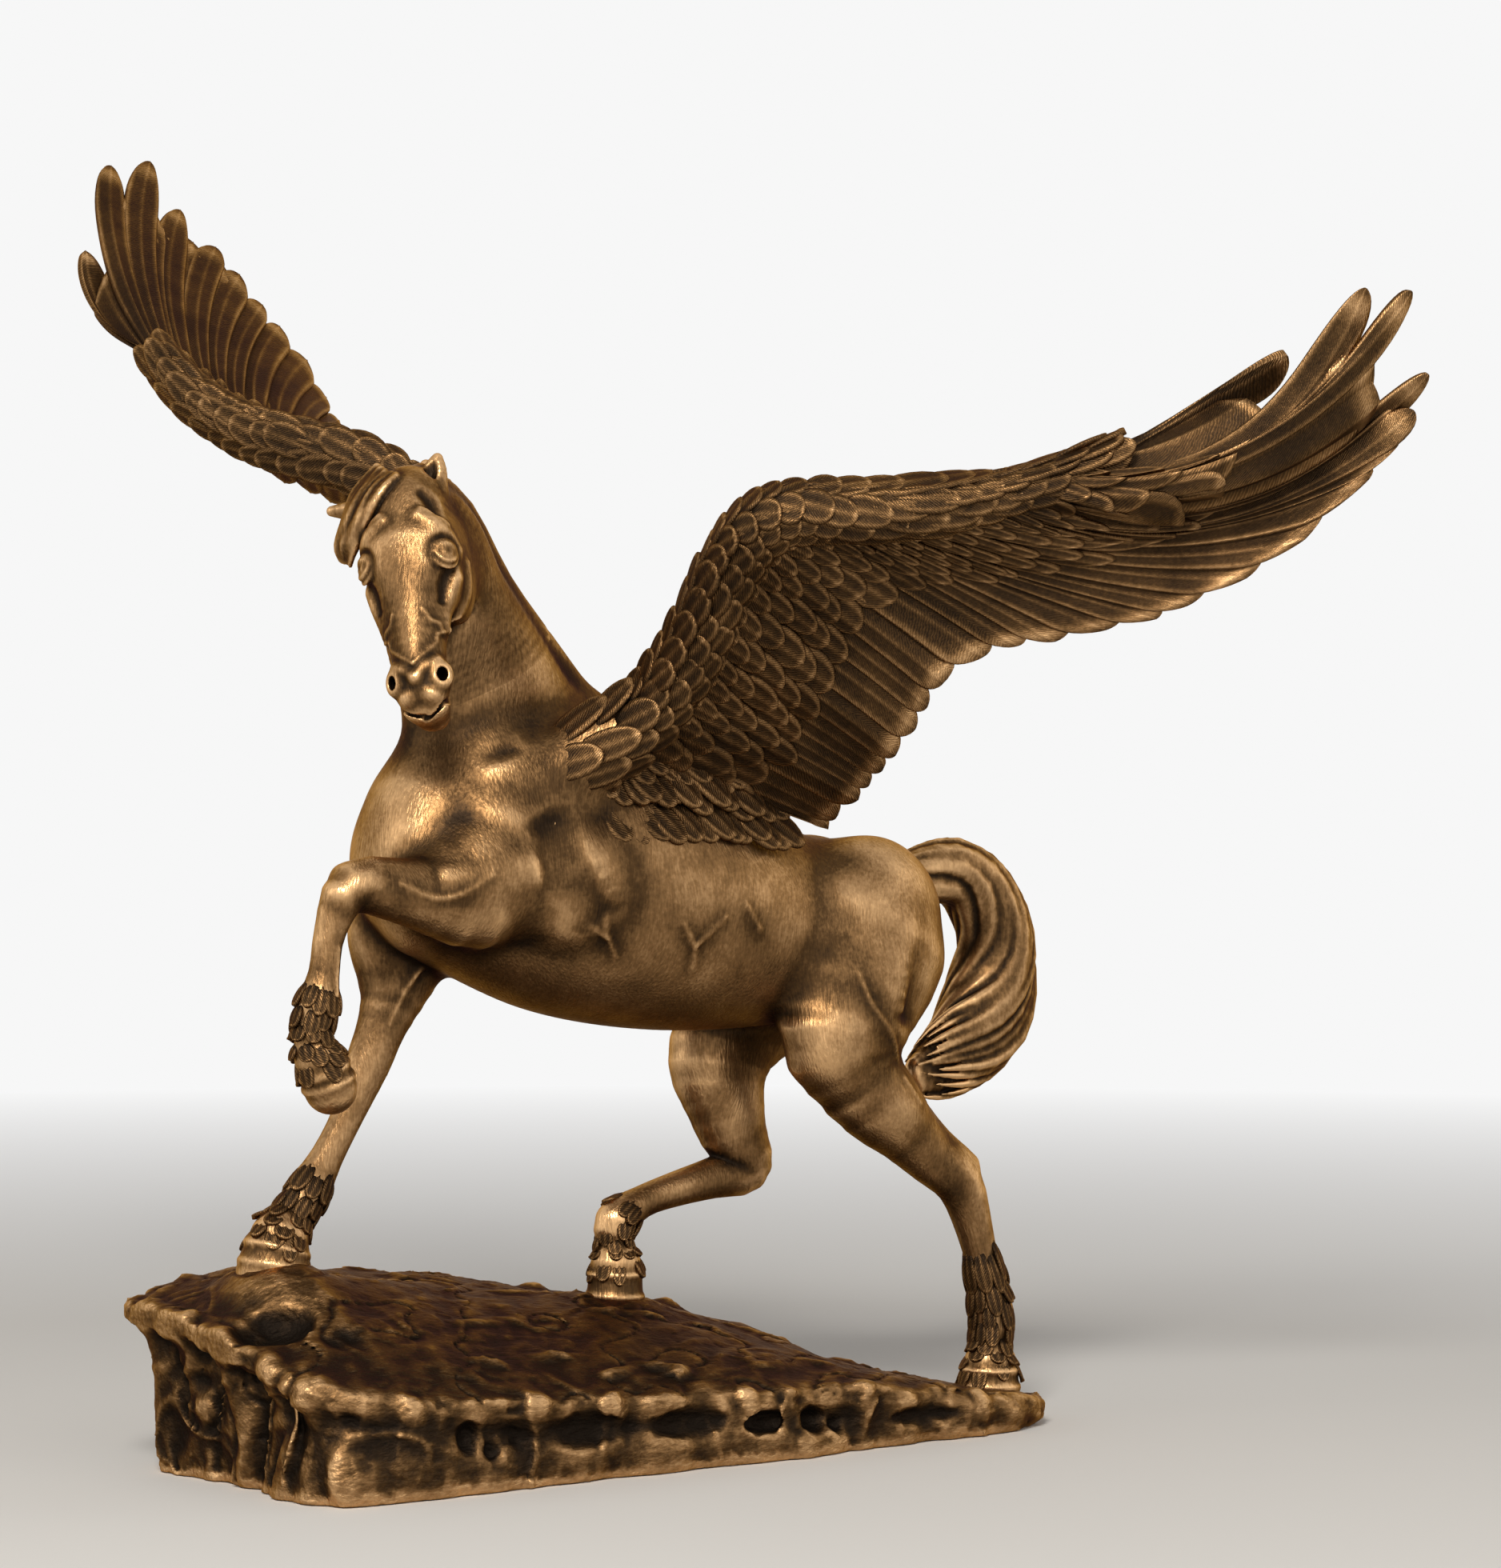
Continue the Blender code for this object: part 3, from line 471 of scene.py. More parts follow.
# Hollows on both sides, behind the elbow, before the thigh and behind it, and those along the jugular.
HOLLOWS = (
    (((-36, 31, 172), 1, 3), ((-30, 33, 158), 1.2, 4), ((-22, 32, 146), 1, 4)),
    (((56, 34, 152), 1.5, 4), ((52, 36, 138), 2.2, 6), ((50, 33, 122), 1.6, 5)),
    (((104, 31, 150), 1, 3), ((98, 32.5, 132), 1.4, 5), ((92, 30, 116), 1, 4)),
)
NECK_HOLLOWS = (
    (((-56, -19, 236), 1.2, 3), ((-52, -20, 214), 1.4, 4), ((-48, -22, 192), 1.4, 4)),
    (((-57, 13, 236), 1.2, 3), ((-53, 17, 214), 1.4, 4), ((-49, 20, 192), 1.4, 4)),
)
# Raised veins: places near the skin, which the lines are laid on, and the half width.
VEINS = (
    ((8, -34, 144, 0.3), (13, -34, 136, 0.6), (14, -33, 128, 0.4)),
    ((23, -34, 146, 0.3), (13, -34, 137, 0.55)),
    ((-17, -34, 146, 0.3), (-16, -34, 140, 0.55), (-12, -33, 132, 0.35)),
    ((-22, -33, 143, 0.3), (-16, -34, 138, 0.5)),
    ((-81, -29, 157, 0.3), (-72, -29, 153, 0.55), (-63, -29, 154, 0.5), (-54, -30, 159, 0.3)),
    ((-60, 8, 118, 0.3), (-56, 8, 126, 0.5), (-50, 8, 136, 0.4)), ((-64, 26, 112, 0.3), (-58, 26, 124, 0.5)),
    ((88, -28, 104, 0.3), (82, -30, 112, 0.55), (74, -30, 120, 0.5), (70, -30, 130, 0.3)),
    ((96, -26, 92, 0.3), (90, -28, 100, 0.5)), ((-97, -26, 140, 0.3), (-98, -26, 128, 0.45)),
    ((8, 34, 144, 0.3), (13, 34, 136, 0.6), (14, 33, 128, 0.4)), ((23, 34, 146, 0.3), (13, 34, 137, 0.55)),
    ((30, -34, 150, 0.3), (36, -33, 142, 0.5)),
)
# Rings round each hoof: shares of the leg's length, and the half width of the line.
HOOF_RINGS = (0.93, 0.97)
RING_HALF = 0.7
# Where each wing's arm grows out of the back: places with the radius.
WING_STUMPS = (
    ((-31, -13, 180, 11), (-24, -19, 187, 10.5), (-15, -27, 194, 9), (-10, -32, 198, 7.5)),
    ((-31, 13, 180, 11), (-27, 19, 187, 10.5), (-24, 26, 195, 9), (-22, 30, 201, 7)),
)
# Below this height on the neck the body is one piece, and above it the head is another.
NECK_SEAM = ((-40, -1.5, 211), (-0.42, -0.1, 0.9))
SEAM_SLIDE = 0.08
SEAM_OVERLAP = 5
BODY_GRID = 0.62
BODY_TRIANGLES = 138000


def sheath(clay, out):
    """Ends a form at the neck's seam: it sinks slowly under its neighbour and is cut a little further on."""
    point, axis = NECK_SEAM
    _, grid = clay.window(clay.low, clay.low + clay.step * clay.counts)
    past = run_along([part - start for part, start in zip(grid, point)], axis) * out
    clay.field += np.maximum(past, 0) * SEAM_SLIDE
    clay.field[...] = np.maximum(clay.field, past - SEAM_OVERLAP)


def model_neck(clay):
    """The neck and its crest, which the body and the head share."""
    clay.limb(NECK, blend=6, steps=10)
    clay.limb(CREST, blend=4)
    for hollow in NECK_HOLLOWS:
        clay.limb(hollow, blend=5, cut=True)


body = Clay((-115, -43, 0), (140, 43, 240), BODY_GRID)
body.limb(TRUNK, blend=4, steps=14)
for centre, radii, turn, blend in PAIRED_MUSCLES:
    for hand in (-1, 1):
        body.mass((centre[0], centre[1] * hand, centre[2]), radii, turn=turn, blend=blend)
for leg in LEGS:
    body.limb(leg, blend=6)
for centre, radii, turn, blend in MUSCLES:
    body.mass(centre, radii, turn=turn, blend=blend)
for stump in WING_STUMPS:
    body.limb([((x, y, z), wide, wide) for x, y, z, wide in stump], blend=9)
model_neck(body)
for sinew in SINEWS:
    body.limb(sinew, blend=3)
for hollow in HOLLOWS:
    for hand in (-1, 1):
        body.limb([((x, y * hand, z), wide, deep) for (x, y, z), wide, deep in hollow], blend=5, cut=True)
for vein in VEINS:
    body.trace([((x, y, z), wide) for x, y, z, wide in vein])
for leg in LEGS:
    for share in HOOF_RINGS:
        centre, (wide, deep) = (along(part, share) for part in split(leg))
        ahead = unit(centre - along(split(leg)[0], share - 0.03))
        side = unit(np.array((0, 1, 0)) - ahead * ahead[1])
        front = np.cross(ahead, side)
        body.trace([
            (centre + side * math.cos(a) * wide + front * math.sin(a) * deep, RING_HALF)
            for a in np.linspace(0, 2 * math.pi, 17)
        ], blend=1.2)
sheath(body, 1)
cast("body", body, BODY_TRIANGLES, 10, 0.42, hide_bronze)


# The head.
# It is part of the casting, with bones, veins, eyelids and nostrils modelled under the skin, two ears and
# a forelock swept to the right. Places on it are given down the nose, across to the right and out.
POLL = np.array((-67.1, -11.3, 257.6))
NOSE = unit((-0.132, -0.331, -0.934))
FACE = unit(np.array((-0.765, -0.565, 0.308)) - NOSE * np.dot((-0.765, -0.565, 0.308), NOSE))
SIDE = np.cross(NOSE, FACE)
HEAD_AXES = (NOSE, SIDE, FACE)
SKULL = (
    (1, 0, 0, 9, 9), (10, 0.5, 1.2, 11, 9.8), (19, 0.9, 2.2, 11.6, 9.8), (27, 0.9, 3, 10.4, 8.8),
    (36, 0.6, 3.8, 8.8, 7.6), (46, 0.2, 4.4, 7.2, 6.2), (54, 0, 4.2, 6.8, 5.6), (59, 0, 2.6, 6.4, 5),
)
JAW = ((14, -11, 5, 5), (26, -12.5, 4.5, 4.5), (40, -6.5, 4.2, 4), (52, -3, 4.4, 3.6), (60, -2.5, 4.2, 3))
# Masses of the face: place, radii, fillet. Those off the middle lie on both sides.
FACE_MASSES = (
    ((14, 0.4, 6.8), (14, 9, 4.6), 6), ((21, 8.2, -6), (13, 4.4, 10.5), 6),
    ((56, 0, 4.4), (4, 6, 4.6), 2), ((58.2, 3, 5.6), (2.8, 3.2, 3.6), 1), ((61, 0, 0.4), (2, 5, 3.4), 0.5),
    ((61, 0, -4.2), (3, 4, 3), 2), ((53, 5.6, 5.4), (4, 3, 3.4), 2.5),
)
# The wedge of the nose: down, out, half width, half depth.
BRIDGE = ((16, 9.6, 7.5, 2.4), (26, 9.4, 5, 2.6), (36, 8.8, 3.2, 2.8), (44, 8.8, 1.9, 2.2), (49, 8.4, 1.3, 2))
# Lines on the face's skin, on both sides: (how sunk, fillet, cut), then places with the half width.
FACE_LINES = (
    (0.5, 2.5, False), ((10, 4.5, 10, 0.8), (12.6, 8, 9, 1.9), (14.6, 11, 7, 2.2), (18, 12.8, 3, 1.2)),
    (0.72, 3.5, False), ((26, 11.5, 3, 1), (30, 10.4, 4, 2), (35, 9, 4, 1.7), (39, 8, 4, 0.7)),
    (0.5, 2, False), ((49.6, 6, 8, 0.6), (51.4, 3.4, 10, 1), (54.2, 0, 10, 1)),
    (0.4, 1.2, False), ((8.5, 5, 10, 0.4), (10.4, 8, 9, 0.8), (12.6, 10.6, 7, 0.6)),
    (0.6, 2.5, False), ((20, 12.6, -3, 0.8), (27, 12, -4, 1.6), (35, 10.5, -3, 1)),
    (0.3, 0.8, False), (
        (36, 4.2, 11, 0.2), (38.6, 5, 9, 0.36), (39.6, 7, 7, 0.38), (41.6, 8, 6, 0.36), (40.6, 9.4, 3, 0.3),
    ),
    (0.3, 0.8, False), (
        (41.6, 8, 6, 0.34), (42.6, 7, 8, 0.38), (44.6, 6.2, 8, 0.36), (46.4, 4.6, 9, 0.34),
        (48.4, 2.4, 10, 0.34), (50, 0, 10, 0.34),
    ),
    (0.3, 0.8, False), ((40.6, 9.4, 3, 0.3), (41.6, 10, 1, 0.34), (40, 11, -2, 0.3), (36, 11.4, -3, 0.2)),
    (0, 3, True), ((3.6, 6, 9, 0.7), (6, 7.4, 8, 1.5), (8.6, 8.4, 8, 0.8)),
    (-0.2, 2, True), ((23, 12, 5, 0.5), (27.5, 10, 7, 1.3), (33, 8.4, 7, 0.6)),
    (0.3, 0.5, True), (
        (60, 0, 3, 0.8), (59.4, 3, 3, 0.75), (58.4, 5.4, 1, 0.7), (56, 7, -1.6, 0.6), (52.6, 7.2, -3, 0.4),
    ),
    (-0.3, 3, True), ((20, 4.4, -15, 1.4), (32, 2.8, -13, 2), (44, 1.4, -9, 1.4)),
)
EYE = (20.6, 10, 7)
EYE_SUNK = 0.7
EYES_APART = 0.9
EYE_RADIUS = 2.9
# Eyelids: angle from the eye's axis at the corners, rise at the middle, height over the ball, half width,
# and 1 for the upper one or -1 for the lower one.
LIDS = ((72, 28, 0.25, 0.7, 1), (88, 26, 1, 0.5, 1), (70, 14, 0.2, 0.6, -1), (92, 12, 1, 0.5, -1))
NOSTRIL = (53.6, 6.3, 7)
# Forelock: where its inner and its outer strands run, and the ears' middle lines.
FORELOCK_INNER = ((-3, 0.5, 8.4), (1.5, 5, 10.2), (6.4, 9.8, 9), (11, 14.4, 5), (15, 17.6, 0.5))
FORELOCK_OUTER = ((-10, 8.5, 1), (-4, 14, 2), (3, 17, 3), (9, 20.6, 1), (12.5, 21.5, -2))
LEFT_EAR = (
    (1, -5.2, -1, 3.6, 3), (-3.5, -6, -0.6, 4, 3), (-7.5, -7, -0.2, 3.2, 2.4), (-10.4, -8, 0, 1.5, 1.4),
)
RIGHT_EAR = (
    (0, 9, -3, 3.4, 2.6), (-1.4, 14, -4, 3.8, 2.6), (-2.6, 19.6, -4.4, 3.2, 2.2), (-3.2, 23.6, -4, 1.6, 1.4),
)
FORELOCK_STRANDS = 13
FORELOCK_THICK = (1.2, 1.5, 1.6, 1.3, 0.5)
HEAD_GRID = 0.36
HEAD_TRIANGLES = 118000


def on_head(down, across, out):
    return POLL + NOSE * down + SIDE * across + FACE * out


def line(stations):
    """A row of stations given on the head, with their places in the casting."""
    return [(on_head(*station[:3]), *station[3:]) for station in stations]


head = Clay((-96, -50, 194), (-16, 24, 278), HEAD_GRID)
model_neck(head)
head.limb(line(SKULL), SIDE, blend=5, steps=4)
for bar, blend, steps in ((JAW, 5, 3), (BRIDGE, 4, 5)):
    head.limb(line([(down, 0, *rest) for down, *rest in bar]), SIDE, blend=blend, steps=steps)
for centre, radii, blend in FACE_MASSES:
    for hand in (1, -1) if centre[1] > 1 else (1,):
        head.mass(on_head(centre[0], centre[1] * hand, centre[2]), radii, HEAD_AXES, blend=blend)
for hand in (1, -1):
    for (sink, blend, cut), points in zip(FACE_LINES[::2], FACE_LINES[1::2]):
        places = [(on_head(down, across * hand, out), wide) for down, across, out, wide in points]
        head.trace(places, sink, blend, cut)
    look = unit(SIDE * hand * 0.76 + FACE * 0.62 - NOSE * 0.1)
    up = unit(-NOSE + look * np.dot(NOSE, look))
    level = np.cross(look, up)
    eye = head.settle(on_head(EYE[0], EYES_APART + EYE[1] * hand, EYE[2]), EYE_SUNK)
    head.mass(eye + look * 2.2, (1.5, 3.6, 4.4), (look, up, level), blend=2.5, cut=True)
    head.mass(eye, (EYE_RADIUS,) * 3, blend=0.4)
    for corner, rise, over, thick, side in LIDS:
        arc = []
        for angle in np.linspace(0, math.pi, 9):
            way = level * math.cos(angle) + up * math.sin(angle) * side
            lean = math.radians(corner - rise * math.sin(angle))
            spot = eye + (look * math.cos(lean) + way * math.sin(lean)) * (EYE_RADIUS + over)
            arc.append((spot, thick * (0.6 + 0.4 * math.sin(angle)), thick))
        head.limb(arc, look, blend=1)
    head.mass(eye + look * (EYE_RADIUS + 0.3), (0.7, 1.15, 1.15), (look, up, level), blend=0.3, cut=True)
    flare = unit(SIDE * hand * 0.5 + FACE * 0.85 + NOSE * 0.1)
    level = unit(np.cross(flare, NOSE))
    rise = np.cross(flare, level)
    nostril = on_head(NOSTRIL[0], NOSTRIL[1] * hand, NOSTRIL[2])
    ring = [
        (nostril + (level * math.cos(a) * 2.1 + rise * math.sin(a) * 2.5), 0.95, 0.95)
        for a in np.linspace(0, 2 * math.pi, 13)
    ]
    head.limb(ring, flare, blend=1.2)
    head.mass(nostril - flare * 0.4, (1.6, 2, 3.4), (level, rise, flare), blend=0.5, cut=True)
for ear, hollow in ((LEFT_EAR, FACE), (RIGHT_EAR, NOSE)):
    places = split(line(ear))[0]
    lift = unit(places[3] - places[0])
    head.limb(line(ear), np.cross(lift, hollow), blend=1.5)
    middle = (places[1] + places[2]) / 2 + hollow * 2.8
    head.mass(middle, (1.7, 4, 1.5), (np.cross(lift, hollow), lift, hollow), blend=0.8, cut=True)
random = np.random.default_rng(5)
for strand in range(FORELOCK_STRANDS):
    share = strand / (FORELOCK_STRANDS - 1)
    sway = random.uniform(-0.5, 0.5, (5, 3))
    points = [
        on_head(*(np.array(inner) * (1 - share) + np.array(outer) * share + wander))
        for inner, outer, wander in zip(FORELOCK_INNER, FORELOCK_OUTER, sway)
    ]
    lock = [(point, wide, wide * 1.5) for point, wide in zip(points, FORELOCK_THICK)]
    head.limb(lock, SIDE, blend=0.5, steps=4)
sheath(head, -1)
cast("head", head, HEAD_TRIANGLES, 20, 0.38, hide_bronze)


# The tail and the mane.
# Both are cast with the horse. The tail is a bundle of long strands twisting round each other to ragged
# points, and the mane lies in loose locks down the right of the neck.
TAIL = (
    ((100, 0, 151), 7, 7), ((116, 0, 155.5), 7.5, 8), ((134, 1, 156), 9, 10), ((147, 2, 142), 10, 12),
    ((148, 2, 125), 10.5, 14), ((139, 1, 110), 10, 15), ((124, -1, 101), 8, 12), ((114, -3, 98), 5, 8),
)
TAIL_STRANDS = 26
TAIL_TWIST = 215
TAIL_GRID = 0.5
TAIL_TRIANGLES = 66000
MANE_STRANDS = 34
MANE_DROP = 30
MANE_TRIANGLES = 36000
hair_bronze = bronze("hair bronze", 0.3, 0.2, lambda tree: streaks(tree, 0.25, 1200))

random = np.random.default_rng(11)
tail_line, tail_sizes = split(TAIL)


def tail_point(share, turn, out):
    """A point round the tail's middle line, turn being an angle and out a share of its section."""
    tangent = unit(along(tail_line, share + 0.02) - along(tail_line, share - 0.02))
    across = np.array((0, 1, 0))
    wide, deep = along(tail_sizes, share)
    round_it = across * wide * math.cos(turn) + np.cross(tangent, across) * deep * math.sin(turn)
    return along(tail_line, share) + round_it * out, min(wide, deep)


tail = Clay((94, -20, 80), (166, 22, 170), TAIL_GRID)
tail.limb([(centre, wide * 0.72, deep * 0.72) for centre, wide, deep in TAIL], blend=1)
for strand in range(TAIL_STRANDS):
    start = 2 * math.pi * (strand + random.uniform(-0.25, 0.25)) / TAIL_STRANDS
    finish = random.uniform(0.84, 1.0)
    thick = random.uniform(0.17, 0.27)
    out = random.uniform(0.76, 0.9)
    lock = []
    for step in range(12):
        share = finish * step / 11
        turn = start + math.radians(TAIL_TWIST) * share + 0.12 * math.sin(9 * share + strand)
        point, size = tail_point(share, turn, out - 0.2 * max(0, 0.15 - share) / 0.15)
        point = point + np.array((-0.6, 0, -0.25)) * max(0, share - 0.85) * 20
        taper = min(1, 0.35 + 4 * share) * (1 - 0.8 * max(0, step - 8) / 3)
        lock.append((point, size * thick * taper, size * thick * 1.2 * taper))
    tail.limb(lock, blend=0.7, steps=2)
cast("tail", tail, TAIL_TRIANGLES, 14, 0.35, hair_bronze)

mane = Clay((-74, -18, 186), (12, 26, 276), TAIL_GRID)
ridge = split(CREST)[0]
mane.limb([(centre, wide * 0.8, deep * 0.8) for centre, wide, deep in CREST], blend=1)
for strand in range(MANE_STRANDS):
    share = (strand + 0.5) / MANE_STRANDS
    drop = MANE_DROP * random.uniform(0.7, 1.05) * (0.7 + 0.5 * math.sin(math.pi * share))
    root = along(ridge, share)
    sway = random.uniform(-2, 2)
    lock = (
        (root + (-2, -5.5, -5), 1, 1.2), (root + (0, -1, 3.6), 1.6, 1.6),
        (root + (-0.1 * drop, 8.5, -0.3 * drop), 1.9, 1.5), (root + (sway, 12, -0.66 * drop), 1.8, 1.4),
        (root + (0.12 * drop + sway, 13.5, -drop), 0.7, 0.6),
    )
    mane.limb(lock, (1, 0, 0), blend=0.6, steps=3)
cast("mane", mane, MANE_TRIANGLES, 12, 0.35, hair_bronze)


# The wings.
# Each is an arm with long flight feathers below it and rows of short rounded ones over both faces, all
# modelled in relief with a raised shaft and rim. One blade is bent along every feather's own curve.
LEFT_ARM = (
    (-28, -16, 184), (-9, -33, 199), (-4, -42, 211), (-3, -53, 224), (-4, -65, 239), (-4, -77, 249),
    (1, -84, 254), (9, -89, 254), (21, -97, 254), (39, -106, 256), (52, -112, 259), (66, -120, 264),
    (79, -128, 271), (91, -134, 277), (103, -140, 285), (112, -145, 291),
)
LEFT_TIPS = (
    (61, -28, 171), (59, -34, 174), (58, -45, 179), (57, -51, 183), (56, -58, 187), (54, -66, 191),
    (55, -73, 198), (55, -78, 204), (56, -83, 210), (65, -89, 217), (72, -95, 220), (79, -102, 221),
    (90, -110, 224), (101, -118, 227), (108, -124, 231), (119, -134, 238), (129, -146, 248),
    (142, -157, 264), (148, -162, 273), (150, -166, 282), (153, -168, 292), (142, -172, 313),
    (130, -168, 313), (120, -148, 297),
)
RIGHT_ARM = (
    (-28, 16, 184), (-22, 30, 200), (-18, 40, 217), (-17, 48, 233), (-18, 55, 249), (-20, 60, 262),
    (-25, 66, 271), (-34, 78, 276), (-42, 90, 279), (-49, 100, 283), (-54, 109, 288), (-60, 120, 297),
    (-61, 132, 308), (-61, 143, 319), (-60, 155, 328), (-59, 165, 335),
)
RIGHT_TIPS = (
    (58, 20, 168), (56, 31, 174), (53, 43, 183), (49, 55, 193), (45, 66, 203), (40, 76, 212),
    (35, 85, 222), (29, 93, 232), (23, 101, 242), (16, 107, 252), (9, 112, 262), (3, 116, 271),
    (-2, 118, 280), (-6, 120, 289), (-2, 133, 297), (-1, 145, 309), (-3, 157, 320), (-4, 165, 327),
    (-6, 175, 337), (-9, 184, 346), (-15, 195, 358), (-18, 208, 374), (-33, 205, 371), (-58, 178, 341),
)
# Each wing: name, arm, tips, bends of the long feathers and of the last two, and where its upper face looks.
WINGS = (
    ("left_wing", LEFT_ARM, LEFT_TIPS, ((0.05, 0, -0.22), (0.15, 0, -0.32), (0, 0, -0.03)), 1),
    (
        "right_wing", RIGHT_ARM, RIGHT_TIPS,
        ((-0.12, 0.1, -0.12), (-0.12, 0.1, -0.12), (-0.14, 0.1, -0.14)), -1,
    ),
)
ARM_RADII = (11, 9, 8.5, 8, 8, 8, 7.5, 7, 6.5, 5.5, 5, 4.3, 3.8, 3.2, 2.6, 2)
# The bare arm under the scales: its size against the scales', the stations it has, its grid and triangles.
ARM_CORE = 0.84
ARM_STATIONS = 13
ARM_MARGIN = 14
ARM_GRID = 0.9
ARM_TRIANGLES = 12000
ARM_PLACES = ((0, 12, 22, 23), (0.03, 0.46, 0.74, 0.8))
BEND_SHARES = ((0, 11, 17, 23), (0.1, 0.2, 1, 1))
CAMBER = 0.07
LAST = 23
# Rows of coverts: how many, how far down the wing they reach by the body and at the tip, and how far
# they stand out.
UNDER_ROWS = (
    (20, 0.68, 0.46, 0.7), (22, 0.57, 0.40, 1.2), (23, 0.47, 0.33, 1.7), (25, 0.35, 0.25, 2.2),
    (27, 0.24, 0.18, 2.8), (28, 0.14, 0.12, 3.4),
)
OVER_ROWS = ((22, 0.30, 0.24, 0.8), (24, 0.20, 0.18, 1.5), (26, 0.12, 0.11, 2.3))
COVERED = 21.5
# Scales over the arm: rows at these angles round it from the leading edge, how far apart they lie, their
# length and half width, the degrees that a scale turns round the arm on its way to its tip, its half
# thickness and bow. UNDER_FORM is the half width, half thickness and bow of the wrist's small feathers.
SCALE_ROWS = (-118, -84, -50, -18, 18, 50, 84, 118)
SCALE_SPACING = 7
SCALE_SHARES = (-0.02, 0.3, 0.5, 0.8)
SCALE_LENGTHS = (10.5, 11.5, 18, 21)
SCALE_HALF = 4.6
SCALE_TURN = 26
SCALE_FORM = (1.1, 0.06)
UNDER_FORM = (7.5, 1.6, 0)
ARM_SHOWN = 0.76
# Half widths of the long outer feathers at their tips, left and right, by feather number. From FIRST_FINGER
# on they have the narrow blade, and past FLAT_AT they all lie in the plane of that feather.
FINGERS = {19: (5.4, 5.4), 20: (6, 6), 21: (6, 6.2), 22: (7.6, 6.4), 23: (5.4, 5)}
FIRST_FINGER = 20
FLAT_AT = 21
# The leading feather's front and back vanes, as shares of its half width.
VANES = (0.4, 1.5)
# Shorter feathers between the long ones: place, and reach down the wing. They lie BEHIND millimetres
# behind the long ones.
BETWEEN = ((18.5, 0.97), (19.5, 0.94), (20.3, 0.86), (20.7, 0.86), (21.5, 0.82), (22.5, 0.62))
BEHIND = 0.9
# A flight feather: half width counted in feathers, where it starts, tilt over the next, half thickness.
FLIGHT_HALF = 0.62
FLIGHT_START = 0.02
FLIGHT_TILT = 0.9
FLIGHT_THICK = 1.5
COVERT_LENGTH = 0.24
COVERT_TILT = 0.5
COVERT_THICK = 1.2
# Small feathers under the right wing's wrist: where each leaves the arm, and its tip.
UNDER_FEATHERS = (
    (0.38, (-12, 84, 257)), (0.43, (-16, 92, 261)), (0.49, (-20, 100, 265)), (0.54, (-23, 106, 268)),
    (0.59, (-28, 112, 271)), (0.63, (-33, 118, 276)), (0.67, (-41, 126, 283)),
)


def wing_curve(wing, place):
    """Root, middle and tip of the curve down the wing at a place counted in feathers."""
    _, arm, tips, bends, up = wing
    share = np.interp(place, *ARM_PLACES)
    root = along(arm, share)
    tip = along(tips, place / LAST)
    if place > LAST:
        tip = tip + (tip - along(tips, 1 - 0.5 / LAST)) * (place - LAST) * 2
    chord = tip - root
    span = along(arm, share + 0.1) - along(arm, share - 0.1)
    crown = unit(np.cross(span, chord)) * up * CAMBER * 4 * np.interp(place, (22, 23), (1, 0))
    bent = np.array([np.interp(place, (21, 22, 23), axis) for axis in zip(*bends)])
    bent = bent * np.interp(place, *BEND_SHARES)
    return root, (root + tip) / 2 + (bent + crown / 2) * np.linalg.norm(chord), tip


def on_curve(curve, start, end):
    """The point that bends a stretch of the curve, and with start and end alike the point on it."""
    root, middle, tip = curve
    return root * (1 - start) * (1 - end) + middle * (start + end - 2 * start * end) + tip * start * end


def wing_normal(wing, place, reach):
    """The direction of the wing's upper face."""
    low, high = max(0, place - 0.8), min(LAST, place + 0.8)
    span = on_curve(wing_curve(wing, high), reach, reach) - on_curve(wing_curve(wing, low), reach, reach)
    curve = wing_curve(wing, place)
    ahead, behind = min(1, reach + 0.1), max(0, reach - 0.1)
    chord = on_curve(curve, ahead, ahead) - on_curve(curve, behind, behind)
    return unit(np.cross(span, chord)) * wing[4]


def wing_feather(wing, place, half, start, end, face, lifts, tilt, thick):
    """A feather's vectors: its curve, how far its two edges lie from it, and its thickness at both ends."""
    curve = wing_curve(wing, place)
    high = wing_curve(wing, min(place + half, LAST + 0.1))
    low = wing_curve(wing, max(place - half, -0.4))
    up = [wing_normal(wing, min(place, LAST), reach) * face for reach in (start, end)]
    spans = ((start, start), (start, end), (end, end))
    raised = (up[0] * lifts[0], (up[0] * lifts[0] + up[1] * lifts[1]) * 0.6, up[1] * lifts[1])
    points = [on_curve(curve, *span) + rise for span, rise in zip(spans, raised)]
    slant = up[0] * tilt
    highs = [on_curve(high, *span) - on_curve(curve, *span) + slant for span in spans]
    lows = [on_curve(low, *span) - on_curve(curve, *span) - slant for span in spans]
    if place in FINGERS:
        ahead, wide = unit(points[2] - points[1]), FINGERS[place][wing[4] < 0]
        across = np.cross(ahead, wing_normal(wing, min(place, FLAT_AT), 0.9)) * wing[4]
        highs[2] = unit(across) * wide
        lows[2] = -highs[2]
        if place > FLAT_AT + 1:
            highs[1], lows[1] = highs[2] * 1.1, lows[2] * 1.1
        for edges in (highs, lows):
            edges[1] = edges[1] * min(1, 1.2 * wide / np.linalg.norm(edges[1]))
        if place == LAST:
            highs, lows = ([edge * vane for edge in edges] for edges, vane in zip((highs, lows), VANES))
    return (*points, *highs, *lows, up[0] * thick, up[1] * thick)


def free_feather(root, tip, normal, half, thick=1.0, bow=0.1):
    """A feather's vectors from its root, its tip and the direction that its face looks in."""
    root, tip = np.asarray(root, float), np.asarray(tip, float)
    side = unit(np.cross(tip - root, normal)) * half
    up = unit(np.cross(side, tip - root))
    middle = (root + tip) / 2 + up * bow * np.linalg.norm(tip - root)
    return (root, middle, tip, side, side, side, -side, -side, -side, up * thick, up * thick)


FEATHER_PARTS = (
    "root", "middle", "tip", "high_root", "high_middle", "high_tip", "low_root", "low_middle", "low_tip",
    "up_root", "up_tip",
)


